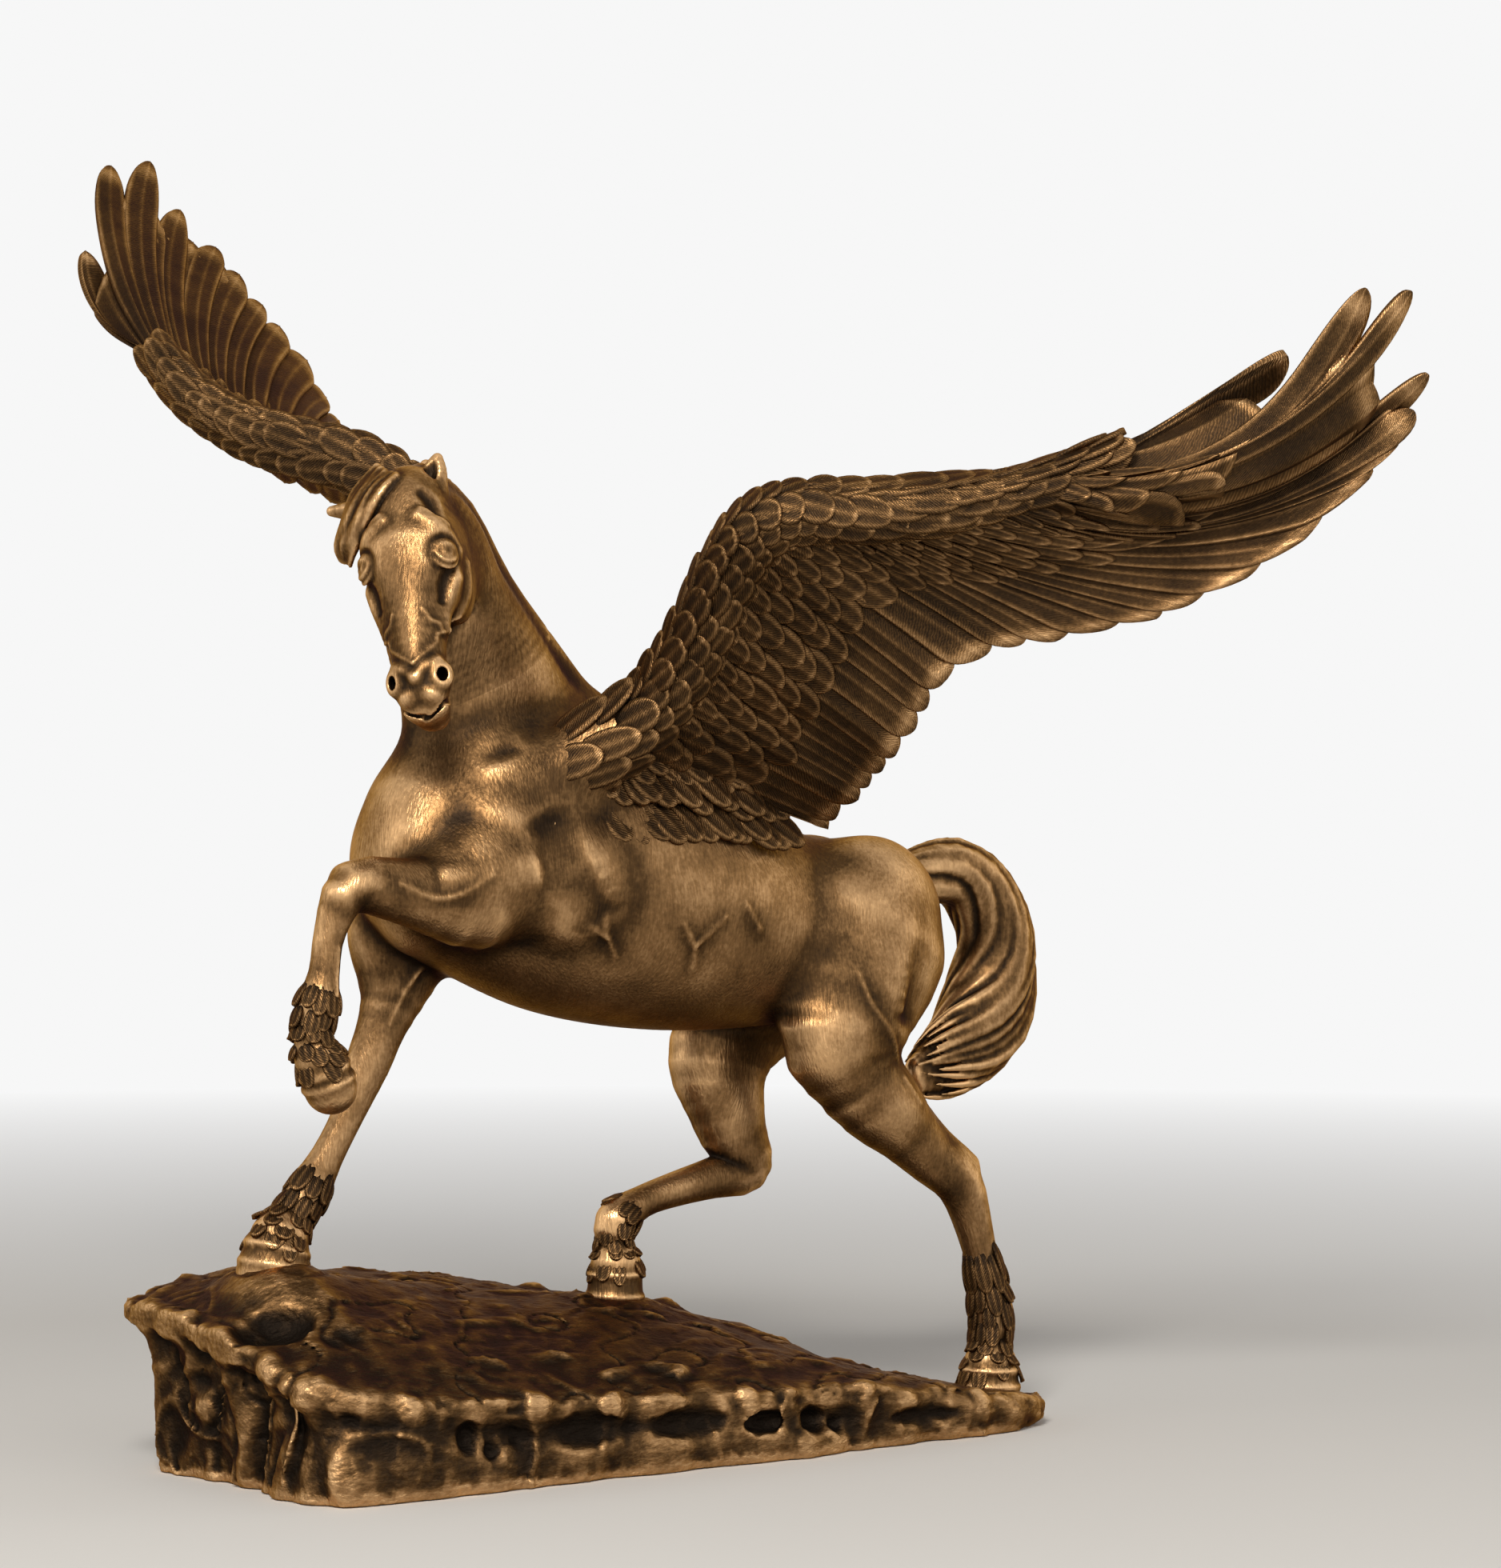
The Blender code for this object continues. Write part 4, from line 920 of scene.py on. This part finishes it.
# A feather's relief: half width of the shaft, where the rim's crest lies and how wide it is.
SHAFT = 0.13
RIM_ACROSS, RIM_WIDTH = 0.86, 0.13
RIM_ALONG, RIM_LENGTH = 0.955, 0.035


def blade(name, columns, rows, finger, rim):
    """A flat feather: u across from -1 to 1, v from root to tip, with a raised shaft, hollows and a rim."""
    across = np.linspace(-1, 1, columns)
    across = np.sign(across) * np.abs(across) ** 0.85
    around = [(u, 1) for u in across] + [(u, -1) for u in across[::-1]]
    points, worn_by, faces = [], [], []
    for row in range(rows + 1):
        v = math.sin(math.pi / 2 * row / rows) ** 1.1
        narrow = max(0, (v - 1 + finger) / finger)
        wide = math.sqrt(max(0.004, 1 - narrow ** 2.2)) * (0.55 + 0.45 * min(1, v / 0.4))
        for u, face in around:
            shaft = max(0, 1 - abs(u) / SHAFT) * (1 - 0.7 * v)
            edge = math.exp(-((abs(u) - RIM_ACROSS) / RIM_WIDTH) ** 2)
            tip_edge = math.exp(-((v - RIM_ALONG) / RIM_LENGTH) ** 2) * (abs(u) < 0.9)
            lip = max(edge * min(1, v / 0.3), tip_edge)
            height = 0.62 * (1 - 0.75 * abs(u) ** 4) + 0.5 * shaft + rim * lip
            points.append((u * wide, v, height * face))
            worn_by.append(0.27 + 0.4 * shaft + 0.36 * lip * (v > 0.15) + 0.13 * v - 0.3 * max(0, 0.3 - v))
        if row:
            count = len(around)
            for i in range(count):
                a, b = (row - 1) * count, (i + 1) % count
                faces.append((a + i, a + b, a + count + b, a + count + i))
    mesh = bpy.data.meshes.new(name)
    count = len(around)
    faces += [tuple(range(count))[::-1], tuple(range(rows * count, (rows + 1) * count))]
    mesh.from_pydata([(0, 0, 0)] * len(points), [], faces)
    mesh.polygons.foreach_set("use_smooth", [True] * len(faces))
    mesh.attributes.new("blade_at", "FLOAT_VECTOR", "POINT").data.foreach_set("vector", np.ravel(points))
    mesh.attributes.new("wear", "FLOAT", "POINT").data.foreach_set("value", worn_by)
    return bpy.data.objects.new(name, mesh)


LONG_BLADE = blade("long_blade", 15, 26, 0.1, 0.3)
FINGER_BLADE = blade("finger_blade", 15, 26, 0.24, 0.3)
SHORT_BLADE = blade("short_blade", 9, 9, 0.45, 0.35)


def barbs(tree):
    """Height of the fine grooves that slant from a feather's shaft to its rim."""
    place = node(tree, "ShaderNodeAttribute", attribute_name="barb_at").outputs["Vector"]
    parts = node(tree, "ShaderNodeSeparateXYZ", {0: place}).outputs
    slant = maths(tree, "MULTIPLY_ADD", maths(tree, "ABSOLUTE", parts["X"]), -1.3, parts["Y"])
    slant = maths(tree, "MULTIPLY_ADD", noise(tree, place, 0.5, 1), 1.6, slant)
    wave = maths(tree, "SINE", maths(tree, "MULTIPLY", slant, 6.5))
    return maths(tree, "MULTIPLY_ADD", wave, 0.3, noise(tree, place, 1.6, 3))


feather_bronze = bronze("feather bronze", 0.45, 0.3, barbs)

bend, ends, out = group("bend_feathers", (
    ("Geometry", "INPUT", "NodeSocketGeometry"), ("Blade", "INPUT", "NodeSocketObject"),
    ("Finish", "INPUT", "NodeSocketMaterial"), ("Geometry", "OUTPUT", "NodeSocketGeometry"),
), "GeometryNodeTree")


def named(label):
    """A vector stored on the feathers' points or on the blade."""
    made = node(bend, "GeometryNodeInputNamedAttribute", {"Name": label}, data_type="FLOAT_VECTOR")
    return made.outputs["Attribute"]


def mix(start, end, share):
    """The vector that lies at a share of the way between two others."""
    made = node(bend, "ShaderNodeMix", data_type="VECTOR")
    for socket, value in zip([s for s in made.inputs if s.enabled], (share, start, end)):
        bend.links.new(value, socket)
    return [s for s in made.outputs if s.enabled][0]


source = node(bend, "GeometryNodeObjectInfo", {"Object": ends.outputs["Blade"]})
spread = node(
    bend, "GeometryNodeInstanceOnPoints",
    {"Points": ends.outputs["Geometry"], "Instance": source.outputs["Geometry"]},
)
real = node(bend, "GeometryNodeRealizeInstances", {"Geometry": spread.outputs["Instances"]})
blade_at = node(bend, "ShaderNodeSeparateXYZ", {0: named("blade_at")})
reach = blade_at.outputs["Y"]


def bent_line(prefix):
    """The point at the blade's reach on the curve through three named vectors."""
    first = mix(named(prefix + "root"), named(prefix + "middle"), reach)
    second = mix(named(prefix + "middle"), named(prefix + "tip"), reach)
    return mix(first, second, reach)


across = blade_at.outputs["X"]
edge = mix(bent_line("low_"), bent_line("high_"), maths(bend, "GREATER_THAN", across, 0.0))
thickness = mix(named("up_root"), named("up_tip"), reach)
spot = bent_line("")
for way, amount in ((edge, maths(bend, "ABSOLUTE", across)), (thickness, blade_at.outputs["Z"])):
    spot = maths(bend, "MULTIPLY_ADD", way, amount, spot, vector=True)
metres = node(bend, "ShaderNodeVectorMath", {0: spot, "Scale": MM}, operation="SCALE")
half = maths(bend, "LENGTH", named("high_middle"), vector=True)
long = maths(bend, "DISTANCE", named("root"), named("tip"), vector=True)
sizes = node(bend, "ShaderNodeCombineXYZ", {"X": half, "Y": long}).outputs["Vector"]
barb = maths(bend, "MULTIPLY_ADD", named("blade_at"), sizes, named("root"), vector=True)
laid = node(
    bend, "GeometryNodeSetPosition", {"Geometry": real.outputs["Geometry"], "Position": metres.outputs[0]}
)
kept = node(
    bend, "GeometryNodeStoreNamedAttribute",
    {"Geometry": laid.outputs["Geometry"], "Name": "barb_at", "Value": barb},
    data_type="FLOAT_VECTOR", domain="POINT",
)
done = node(
    bend, "GeometryNodeSetMaterial",
    {"Geometry": kept.outputs["Geometry"], "Material": ends.outputs["Finish"]},
)
bend.links.new(done.outputs["Geometry"], out.inputs["Geometry"])


def feathered(name, feathers, shape):
    """Bends one blade along every feather and returns the mesh of them all."""
    points = bpy.data.meshes.new(name)
    points.from_pydata([(0, 0, 0)] * len(feathers), [], [])
    for index, label in enumerate(FEATHER_PARTS):
        values = np.ravel([feather[index] for feather in feathers])
        points.attributes.new(label, "FLOAT_VECTOR", "POINT").data.foreach_set("vector", values)
    holder = bpy.data.objects.new(name, points)
    bpy.context.scene.collection.objects.link(holder)
    modifier = holder.modifiers.new("bend", "NODES")
    modifier.node_group = bend
    for item in bend.interface.items_tree:
        if item.in_out == "INPUT" and item.name == "Blade":
            modifier[item.identifier] = shape
        if item.in_out == "INPUT" and item.name == "Finish":
            modifier[item.identifier] = feather_bronze
    made = bpy.data.meshes.new_from_object(holder.evaluated_get(bpy.context.evaluated_depsgraph_get()))
    bpy.data.objects.remove(holder, do_unlink=True)
    for label in (*FEATHER_PARTS, "blade_at"):
        made.attributes.remove(made.attributes[label])
    made.name = name
    return made


def add_feathers(name, feathers, shape):
    """Adds a piece of feathers whose faces all look out of their own closed part."""
    mesh = feathered(name, feathers, shape)
    form = bmesh.new()
    form.from_mesh(mesh)
    bmesh.ops.recalc_face_normals(form, faces=form.faces)
    form.to_mesh(mesh)
    form.free()
    piece(name, mesh, feather_bronze)


random = np.random.default_rng(23)
for wing in WINGS:
    name, arm, _, _, up = wing
    clay = Clay(np.min(arm, 0) - ARM_MARGIN, np.max(arm, 0) + ARM_MARGIN, ARM_GRID)
    core = [(point, radius * ARM_CORE, radius * ARM_CORE) for point, radius in zip(arm, ARM_RADII)]
    clay.limb(core[:ARM_STATIONS], steps=4)
    cast(name + "_arm", clay, ARM_TRIANGLES, 12, 0.6, hide_bronze)
    flight = [(place, 1, 0) for place in range(LAST + 1)] + [(*short, BEHIND * up) for short in BETWEEN]
    flight = [
        wing_feather(
            wing, place, FLIGHT_HALF, FLIGHT_START, reach, 1, (lift, lift), FLIGHT_TILT * up, FLIGHT_THICK
        ) for place, reach, lift in flight
    ]
    fingers = slice(FIRST_FINGER, LAST + 1)
    add_feathers(name + "_flight", flight[:fingers.start] + flight[fingers.stop:], LONG_BLADE)
    add_feathers(name + "_fingers", flight[fingers], FINGER_BLADE)
    coverts = []
    for face, rows in ((-1, UNDER_ROWS), (1, OVER_ROWS)):
        for row, (count, near, far, lift) in enumerate(rows):
            for i in range(count):
                where = COVERED * (i + 0.5 * (row % 2)) / (count - 0.5) + random.uniform(-0.1, 0.1)
                end = (near + (far - near) * i / count) * random.uniform(0.95, 1.05)
                start = max(0.0, end - COVERT_LENGTH)
                size = FLIGHT_HALF * COVERED / count
                lifts = (lift * 0.6, lift + 0.8)
                coverts.append(wing_feather(
                    wing, where, size, start, end, face, lifts, COVERT_TILT * up, COVERT_THICK
                ))
    add_feathers(name + "_coverts", coverts, SHORT_BLADE)
    scales = []
    length = sum(np.linalg.norm(np.subtract(b, a)) for a, b in zip(arm, arm[1:]))
    count = int(length * ARM_SHOWN / SCALE_SPACING)
    for row, degrees in enumerate(SCALE_ROWS):
        for i in range(count):
            share = (ARM_SHOWN + 0.02) * (i + 0.5 * (row % 2)) / count - 0.02
            radius = np.interp(share, np.linspace(0, 1, len(ARM_RADII)), ARM_RADII) * 0.92
            ahead = unit(along(arm, share + 0.02) - along(arm, share - 0.02))
            root, middle, _ = wing_curve(wing, np.interp(share, ARM_PLACES[1], ARM_PLACES[0]))
            chord = middle - root
            chord = unit(chord - ahead * np.dot(ahead, chord))
            over = unit(np.cross(ahead, chord)) * up
            a = math.radians(degrees + random.uniform(-5, 5))
            later = a + math.radians(SCALE_TURN) * np.sign(degrees)
            out_a, out_b = (over * math.sin(b) - chord * math.cos(b) for b in (a, later))
            size = min(1.0, 0.5 + radius / 12) * random.uniform(0.9, 1.1)
            reach = np.interp(share, SCALE_SHARES, SCALE_LENGTHS) * size
            spot = along(arm, share)
            end = along(arm, share + reach / length)
            start, end = spot + out_a * radius * ARM_CORE, end + out_b * (radius + 0.6)
            scales.append(free_feather(start, end, out_a, SCALE_HALF * size, *SCALE_FORM))
    if name == "right_wing":
        for share, tip in UNDER_FEATHERS:
            scales.append(free_feather(along(arm, share), tip, unit((1, 0, 1)), *UNDER_FORM))
    add_feathers(name + "_scales", scales, SHORT_BLADE)


# The small feathers of the body.
# Where the wings leave the back the short feathers spread over the shoulders and ribs, and leaf-shaped
# ones lie in rows round the fetlocks and above the hooves. All are cast in relief with the horse.
TUFT_TIPS = (
    (-29, -27, 169), (-17, -29, 166), (-4, -30, 166), (9, -31, 166), (22, -30, 167),
    (35, -28, 166), (48, -27, 164), (-22, -26, 178), (-8, -29, 176), (6, -29, 176),
    (20, -29, 175), (34, -27, 173), (-14, -26, 186), (0, -28, 183), (14, -27, 182),
    (28, -26, 180), (44, -25, 172),
)
TUFT_REACH = np.array((-9, 5, 11))
TUFT_FORM = (4.3, 1.2, 0.08)
LEAF_FORM = (0.7, 0.1)
# Rows of leaves: leg, the shares of its length, leaves round it, their length, their half width.
LEAF_ROWS = (
    (RAISED_FORELEG, (0.59, 0.66, 0.73, 0.79, 0.85), 8, 10.5, 2.4),
    (PLANTED_FORELEG, (0.65, 0.71, 0.77, 0.83, 0.88), 8, 10.5, 2.6),
    (STEPPING_HINDLEG, (0.66, 0.71, 0.77, 0.82, 0.87), 8, 9.5, 2.3),
    (TRAILING_HINDLEG, (0.58, 0.63, 0.68, 0.73, 0.78, 0.83, 0.88), 8, 12.5, 2.4),
)
random = np.random.default_rng(31)
tufts = []
for tip in TUFT_TIPS:
    for step in (-0.5, 0, 0.5):
        for hand in (-1, 1):
            flip = np.array((1, -hand, 1))
            shift = np.array((10 * step, 0, 3.5 * abs(step))) + random.uniform(-1, 1, 3)
            end = (np.array(tip) + shift) * flip
            fan = np.array((-0.45 * tip[0] if tip[0] < 0 else -0.12 * tip[0], 0, 0))
            root = end + (TUFT_REACH + fan) * random.uniform(0.85, 1.1) * flip
            outward = unit((-0.1, hand, 0.55))
            tufts.append(free_feather(root, end, outward, *TUFT_FORM))
for leg, tier, count, length, half in [(row[0], tier, *row[2:]) for row in LEAF_ROWS for tier in row[1]]:
    line_up, sizes_up = split(leg)
    long = sum(np.linalg.norm(np.subtract(b, a)) for a, b in zip(line_up, line_up[1:]))
    for i in range(count):
        share = tier + random.uniform(-0.016, 0.016)
        ahead = unit(along(line_up, share + 0.03) - along(line_up, share - 0.03))
        side = unit(np.array((0, 1, 0)) - ahead * ahead[1])
        angle = 2 * math.pi * (i + random.uniform(-0.3, 0.3) + 50 * tier) / count
        sizes = ((1, 1), along(sizes_up, share), along(sizes_up, share + length / long))
        outward, shell, end = (
            side * math.cos(angle) * wide + np.cross(ahead, side) * math.sin(angle) * deep
            for wide, deep in sizes
        )
        root = along(line_up, share) + shell * 0.86
        tip = along(line_up, share + length * random.uniform(0.85, 1.15) / long) + end
        tip = tip + outward * random.uniform(0.3, 1.2)
        tufts.append(free_feather(root, tip, outward, half * random.uniform(0.85, 1.1), *LEAF_FORM))
add_feathers("small_feathers", tufts, SHORT_BLADE)


# The rock.
# The base is a block with a trodden, cracked top and broken sides, with wax-like drips hanging from its rim
# and hollows washed out under it. It is cast in one with the hooves and darker than the horse.
BASE_X = (-120, 130)
NEAR_Y = -49
FAR_Y = ((-120, 15, 130), (53, 53, 20))
RIDGE_Y = 15
NEAR_EDGE = ((-116, -60, 10, 60, 105, 127), (29, 24, 20, 18, 12, 8))
RIDGE = ((-116, -92, -50, 20, 60, 95, 127), (44, 56, 46, 38, 28, 14, 8))
FAR_EDGE = ((-116, -88, -40, 15, 50, 80, 105, 127), (46, 50, 48, 38, 34, 25, 12, 8))
# Drips: place on the rim, how far down they run as a share of the side, half width.
DRIPS = (
    (-120, 34, 0.97, 4), (-121, -4, 0.97, 4.4), (-118, -42, 0.98, 5), (-119, 15, 0.5, 3), (-119, -24, 0.4, 3),
    (-95, -48, 0.6, 2.6), (-54, -49, 0.95, 4), (-30, -49, 0.5, 2.4), (14, -49, 0.95, 3.4),
    (29, -49, 0.6, 2.6),
    (56, -49, 0.9, 3), (98, -48, 0.8, 2.4), (-62, 52, 0.9, 3.8), (-20, 52, 0.6, 3.2), (15, 50, 0.9, 3.4),
    (55, 40, 0.8, 3), (90, 30, 0.8, 2.6), (-98, 51, 0.9, 3.8),
)
# Smooth swellings low on the sides: place, half length, half height, depth.
SWELLINGS = (
    (-100, -45, 8, 14, 12, 4), (-84, -47, 9, 9, 9, 3), (-66, -47, 5, 8, 6, 3), (-40, -47, 8, 12, 9, 4),
    (-12, -47, 6, 13, 8, 5), (8, -47, 7, 8, 7, 4), (22, -47, 5, 7, 10, 5), (35, -48, 3, 7, 8, 5),
    (45, -47, 3, 5, 5, 4), (68, -46, 6, 12, 6, 4), (90, -46, 5, 9, 5, 4), (108, -45, 4, 8, 4, 4),
    (-70, 48, 9, 16, 12, 5), (-30, 48, 8, 14, 10, 5), (20, 44, 8, 15, 9, 5),
)
# Hollows under the rim: place, half length, half height, depth.
WASHED = (
    (-124, 15, 19, 8, 20, 4), (-124, -23, 16, 8, 16, 4), (-75, -50.5, 15, 3.4, 4, 4.4),
    (-68, -50.5, 11, 2, 2.4, 3), (-38, -50.5, 14, 11, 4.5, 3), (-5, -50.5, 13, 12, 3.6, 2.6),
    (38, -50.5, 10, 4.6, 3.4, 5), (46, -50.5, 8, 2.4, 2, 4), (20, -50.5, 11, 7, 3, 2.4),
    (78, -50.5, 8, 12, 2.4, 2.6), (-108, -50.5, 17, 8, 7, 3),
    (-110, -11, 45, 12, 8.5, 10), (-98, -27, 42, 7, 4.5, 6), (-40, 54, 22, 8, 9, 4),
    (0, 54, 18, 8, 8, 4), (60, 44, 14, 6, 5, 4),
)
# Broken slabs and raised leaf-like flakes on the top: place, half length, half width, height, turn.
FLAKES = (
    (-60, -34, 8, 1.8, 2.4, -10), (-50, 24, 12, 2, 1.8, 20), (30, 10, 12, 1.6, 1.6, -20),
    (80, -14, 10, 1.8, 1.6, 12), (-30, 36, 11, 2, 2, -12),
    (-18, -38, 9, 2, 2.4, 18), (-6, -36, 8, 1.8, 2.6, -25), (3, -38, 7, 1.6, 2.2, 40),
    (-34, -30, 10, 1.6, 2, 0), (36, -34, 10, 2, 1.8, 15), (52, -30, 8, 1.6, 1.8, -12),
    (-46, -12, 12, 1.8, 2, 8), (10, 0, 14, 2, 1.8, -6),
    (60, 6, 12, 2, 1.6, -14), (-10, 20, 14, 2, 1.8, 4),
)
# Two mounds under the hooves: centre and radii.
MOUNDS = (((-94, 12, 45), (15, 17, 10.5)), ((19, 15, 33), (12, 12, 6)))
# Folds and ridges over the whole rock: length of their waves, seed, depth.
FOLDS = ((9, 9, 0.45), (13, 10, -0.8), (6, 11, -0.5))
NOISE_CELLS = 48
RIM_FILLET = 2.5
ROCK_GRID = 0.8
ROCK_TRIANGLES = 115000


def lattice(grid, scale, seed):
    """Smooth noise between -1 and 1 over a grid's coordinates; scale is one length, or three."""
    x, y, z = grid
    turned = (x + 0.45 * y + 0.2 * z, y - 0.5 * x + 0.3 * z, z + 0.35 * x - 0.25 * y)
    values = np.random.default_rng(seed).uniform(-1, 1, (NOISE_CELLS,) * 3).astype(np.float32)
    cells, shares = [], []
    for axis, size in zip(turned, np.broadcast_to(scale, 3)):
        place = axis / size + 100
        whole = np.floor(place)
        part = (place - whole).astype(np.float32)
        cells.append(whole.astype(int))
        shares.append(part * part * (3 - 2 * part))
    total = 0
    for i, j, k in np.ndindex(2, 2, 2):
        weight = 1
        for step, share in zip((i, j, k), shares):
            weight = weight * (share if step else 1 - share)
        spots = tuple((cell + step) % NOISE_CELLS for cell, step in zip(cells, (i, j, k)))
        total = total + weight * values[spots]
    return total


def ground(x, y):
    """Height of the rock's top over the plan."""
    ridge = np.interp(x, *RIDGE)
    near = np.clip((RIDGE_Y - y) / (RIDGE_Y - NEAR_Y), 0, 1) ** 1.4
    far = np.clip((y - RIDGE_Y) / (np.interp(x, *FAR_Y) - RIDGE_Y), 0, 1)
    return ridge + (np.interp(x, *NEAR_EDGE) - ridge) * near + (np.interp(x, *FAR_EDGE) - ridge) * far


rock = Clay((-123.4, -56, -0.4), (134, 58, 62), ROCK_GRID)
whole, grid = rock.window(rock.low, rock.low + rock.step * rock.counts)
x, y, z = grid
top = ground(x, y)
across = (x - sum(BASE_X) / 2) / (BASE_X[1] - BASE_X[0]) * 2
deep = (y - NEAR_Y) / (np.interp(x, *FAR_Y) - NEAR_Y) * 2 - 1
side = ((across ** 8 + deep ** 8) ** 0.125 - 1) * 50
side = side + 2.6 * np.clip((top - 5 - z) / 4, 0, 1) - 1
for amount, scale, seed in ((1.7, (16, 16, 50), 1), (1.1, (7, 7, 26), 2), (0.35, (4, 4, 9), 3)):
    side = side + amount * lattice(grid, scale, seed)
above = z - top
for amount, scale, seed in ((1.0, (26, 14, 14), 4), (0.4, (10, 6, 6), 5), (0.2, (5, 3, 3), 6)):
    above = above + amount * lattice(grid, scale, seed)
crack = np.abs(lattice(grid, (16, 13, 13), 8))
above = above + 1.3 * np.clip(1 - crack / 0.05, 0, 1)
gap = np.maximum(RIM_FILLET - np.abs(side - above), 0) / RIM_FILLET
rock.field[whole] = np.maximum(side, above) + gap * gap * RIM_FILLET / 4
for centre_x, centre_y, half, breadth, rise, turn in FLAKES:
    spot = (centre_x, centre_y, float(ground(centre_x, centre_y)) - 1)
    a = math.radians(turn)
    slope = unit((1, 0, float(ground(centre_x + 4, centre_y) - ground(centre_x - 4, centre_y)) / 8))
    lengthwise = unit(slope * math.cos(a) + np.array((0, 1, 0)) * math.sin(a))
    sideways = unit(np.cross((0, 0.35, 1), lengthwise))
    rock.mass(spot, (half, breadth, rise), (lengthwise, sideways, np.cross(lengthwise, sideways)), blend=1.6)
for at_x, at_y, drop, wide in DRIPS:
    rim = float(ground(at_x, at_y)) - 2.5
    sway = lattice([np.array([at_x]), np.array([at_y]), np.array([rim])], 7, 12)[0] * 2
    drip = (
        ((at_x, at_y, rim), wide * 0.8), ((at_x + sway, at_y, rim * (1 - drop * 0.3)), wide),
        ((at_x, at_y + sway, rim * (1 - drop * 0.7)), wide * 0.6),
        ((at_x, at_y, rim * (1 - drop)), wide * 0.8),
    )
    rock.trace(drip, 0.3, 4)
for swell, forms in ((False, SWELLINGS), (True, WASHED)):
    for at_x, at_y, height, half, tall, deep in forms:
        sizes = (deep, half, tall) if abs(at_x) > 115 else (half, deep, tall)
        rock.mass((at_x, at_y, height), sizes, blend=2 if swell else 6, cut=swell)
for centre, radii in MOUNDS:
    rock.mass(centre, radii, blend=6)
for scale, seed, deep in FOLDS:
    fold = np.clip(1 - np.abs(lattice(grid, (scale * 1.8, scale, scale), seed)) / 0.11, 0, 1)
    rock.field += deep * fold * np.clip(0.5 + lattice(grid, 17, seed + 10) * 1.6, 0, 1)
rock.field += 0.16 * lattice(grid, 1.9, 12)
rock.field[...] = np.maximum(rock.field, 0.15 - z)


def grit(tree):
    """Height of the rock's rough grain."""
    place = node(tree, "ShaderNodeTexCoord").outputs["Object"]
    return noise(tree, maths(tree, "MULTIPLY", place, (0.45, 1, 1), vector=True), 700, 6)


cast("rock", rock, ROCK_TRIANGLES, 8, 0.5, bronze("rock bronze", 0.9, 0.8, grit, 0.15))


# The room.
# A plain pale floor, soft lamps with a stronger one from the front left, and the camera where the
# photograph's stood.
ROOM_WHITE = (0.93, 0.93, 0.93, 1)
FLOOR_HALF = 6000
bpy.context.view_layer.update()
plain = bpy.data.materials.new("pale floor")
plain.use_nodes = True
tree = plain.node_tree
shader = tree.nodes["Principled BSDF"]
shader.inputs["Base Color"].default_value = (0.8, 0.8, 0.79, 1)
shader.inputs["Roughness"].default_value = 0.9


def clear_ray(tree):
    """1 for rays from the camera and for rays that metal mirrors, and 0 for those that carry light."""
    path = node(tree, "ShaderNodeLightPath").outputs
    seen = maths(tree, "MAXIMUM", path["Is Camera Ray"], path["Is Glossy Ray"])
    return maths(tree, "MAXIMUM", seen, path["Is Transmission Ray"])


place = node(tree, "ShaderNodeTexCoord").outputs["Object"]
away = maths(tree, "LENGTH", place, vector=True)
fade = node(tree, "ShaderNodeMapRange", {"Value": away, "From Min": 0.35, "From Max": 1.5})
white = node(tree, "ShaderNodeEmission", {"Color": ROOM_WHITE})
fade = maths(tree, "MULTIPLY", fade.outputs[0], clear_ray(tree))
both = node(tree, "ShaderNodeMixShader", {0: fade, 1: shader.outputs[0], 2: white.outputs[0]})
tree.links.new(both.outputs[0], tree.nodes["Material Output"].inputs["Surface"])
corners = np.array([(x * FLOOR_HALF, y * FLOOR_HALF, 0) for x, y in ((-1, -1), (1, -1), (1, 1), (-1, 1))])
floor = bpy.data.objects.new("floor", to_mesh("floor", corners, np.array(((0, 1, 2, 3),))))
floor.data.materials.append(plain)
bpy.context.scene.collection.objects.link(floor)

LAMPS = (
    ("key", (-0.95, -0.95, 1.15), 0.5, 20, (1, 0.95, 0.88)),
    ("front", (-0.15, -1.9, 0.7), 1.4, 5, (1, 0.98, 0.95)),
    ("right", (1.5, -0.7, 0.5), 1.0, 2, (1, 0.97, 0.93)),
    ("side", (-1.7, 0.5, 0.8), 0.8, 3, (1, 0.97, 0.93)),
)
middle = Vector((0.01, 0.0, 0.18))
for name, place, size, power, colour in LAMPS:
    lamp = bpy.data.lights.new(name, "AREA")
    lamp.energy = power
    lamp.size = size
    lamp.color = colour
    holder = bpy.data.objects.new(name, lamp)
    holder.location = place
    holder.rotation_euler = (middle - Vector(place)).to_track_quat("-Z", "Y").to_euler()
    bpy.context.scene.collection.objects.link(holder)

world = bpy.data.worlds.new("room")
world.use_nodes = True
tree = world.node_tree
tree.nodes.clear()
seen = node(tree, "ShaderNodeBackground", {"Color": ROOM_WHITE, "Strength": 1.0})
light = node(tree, "ShaderNodeBackground", {"Color": (0.60, 0.55, 0.50, 1), "Strength": 0.36})
mixed = node(tree, "ShaderNodeMixShader", {0: clear_ray(tree), 1: light.outputs[0], 2: seen.outputs[0]})
node(tree, "ShaderNodeOutputWorld", {"Surface": mixed.outputs[0]})
bpy.context.scene.world = world

camera = bpy.data.objects.new("camera", bpy.data.cameras.new("camera"))
camera.location = (-0.7353, -1.0118, 0.1826)
camera.rotation_euler = (math.radians(90), 0, math.radians(-38))
camera.data.lens = 104.36
camera.data.sensor_width = 36
camera.data.clip_start = 0.05
camera.data.clip_end = 30
bpy.context.scene.collection.objects.link(camera)
bpy.context.scene.camera = camera
bpy.context.scene.view_settings.view_transform = "Standard"
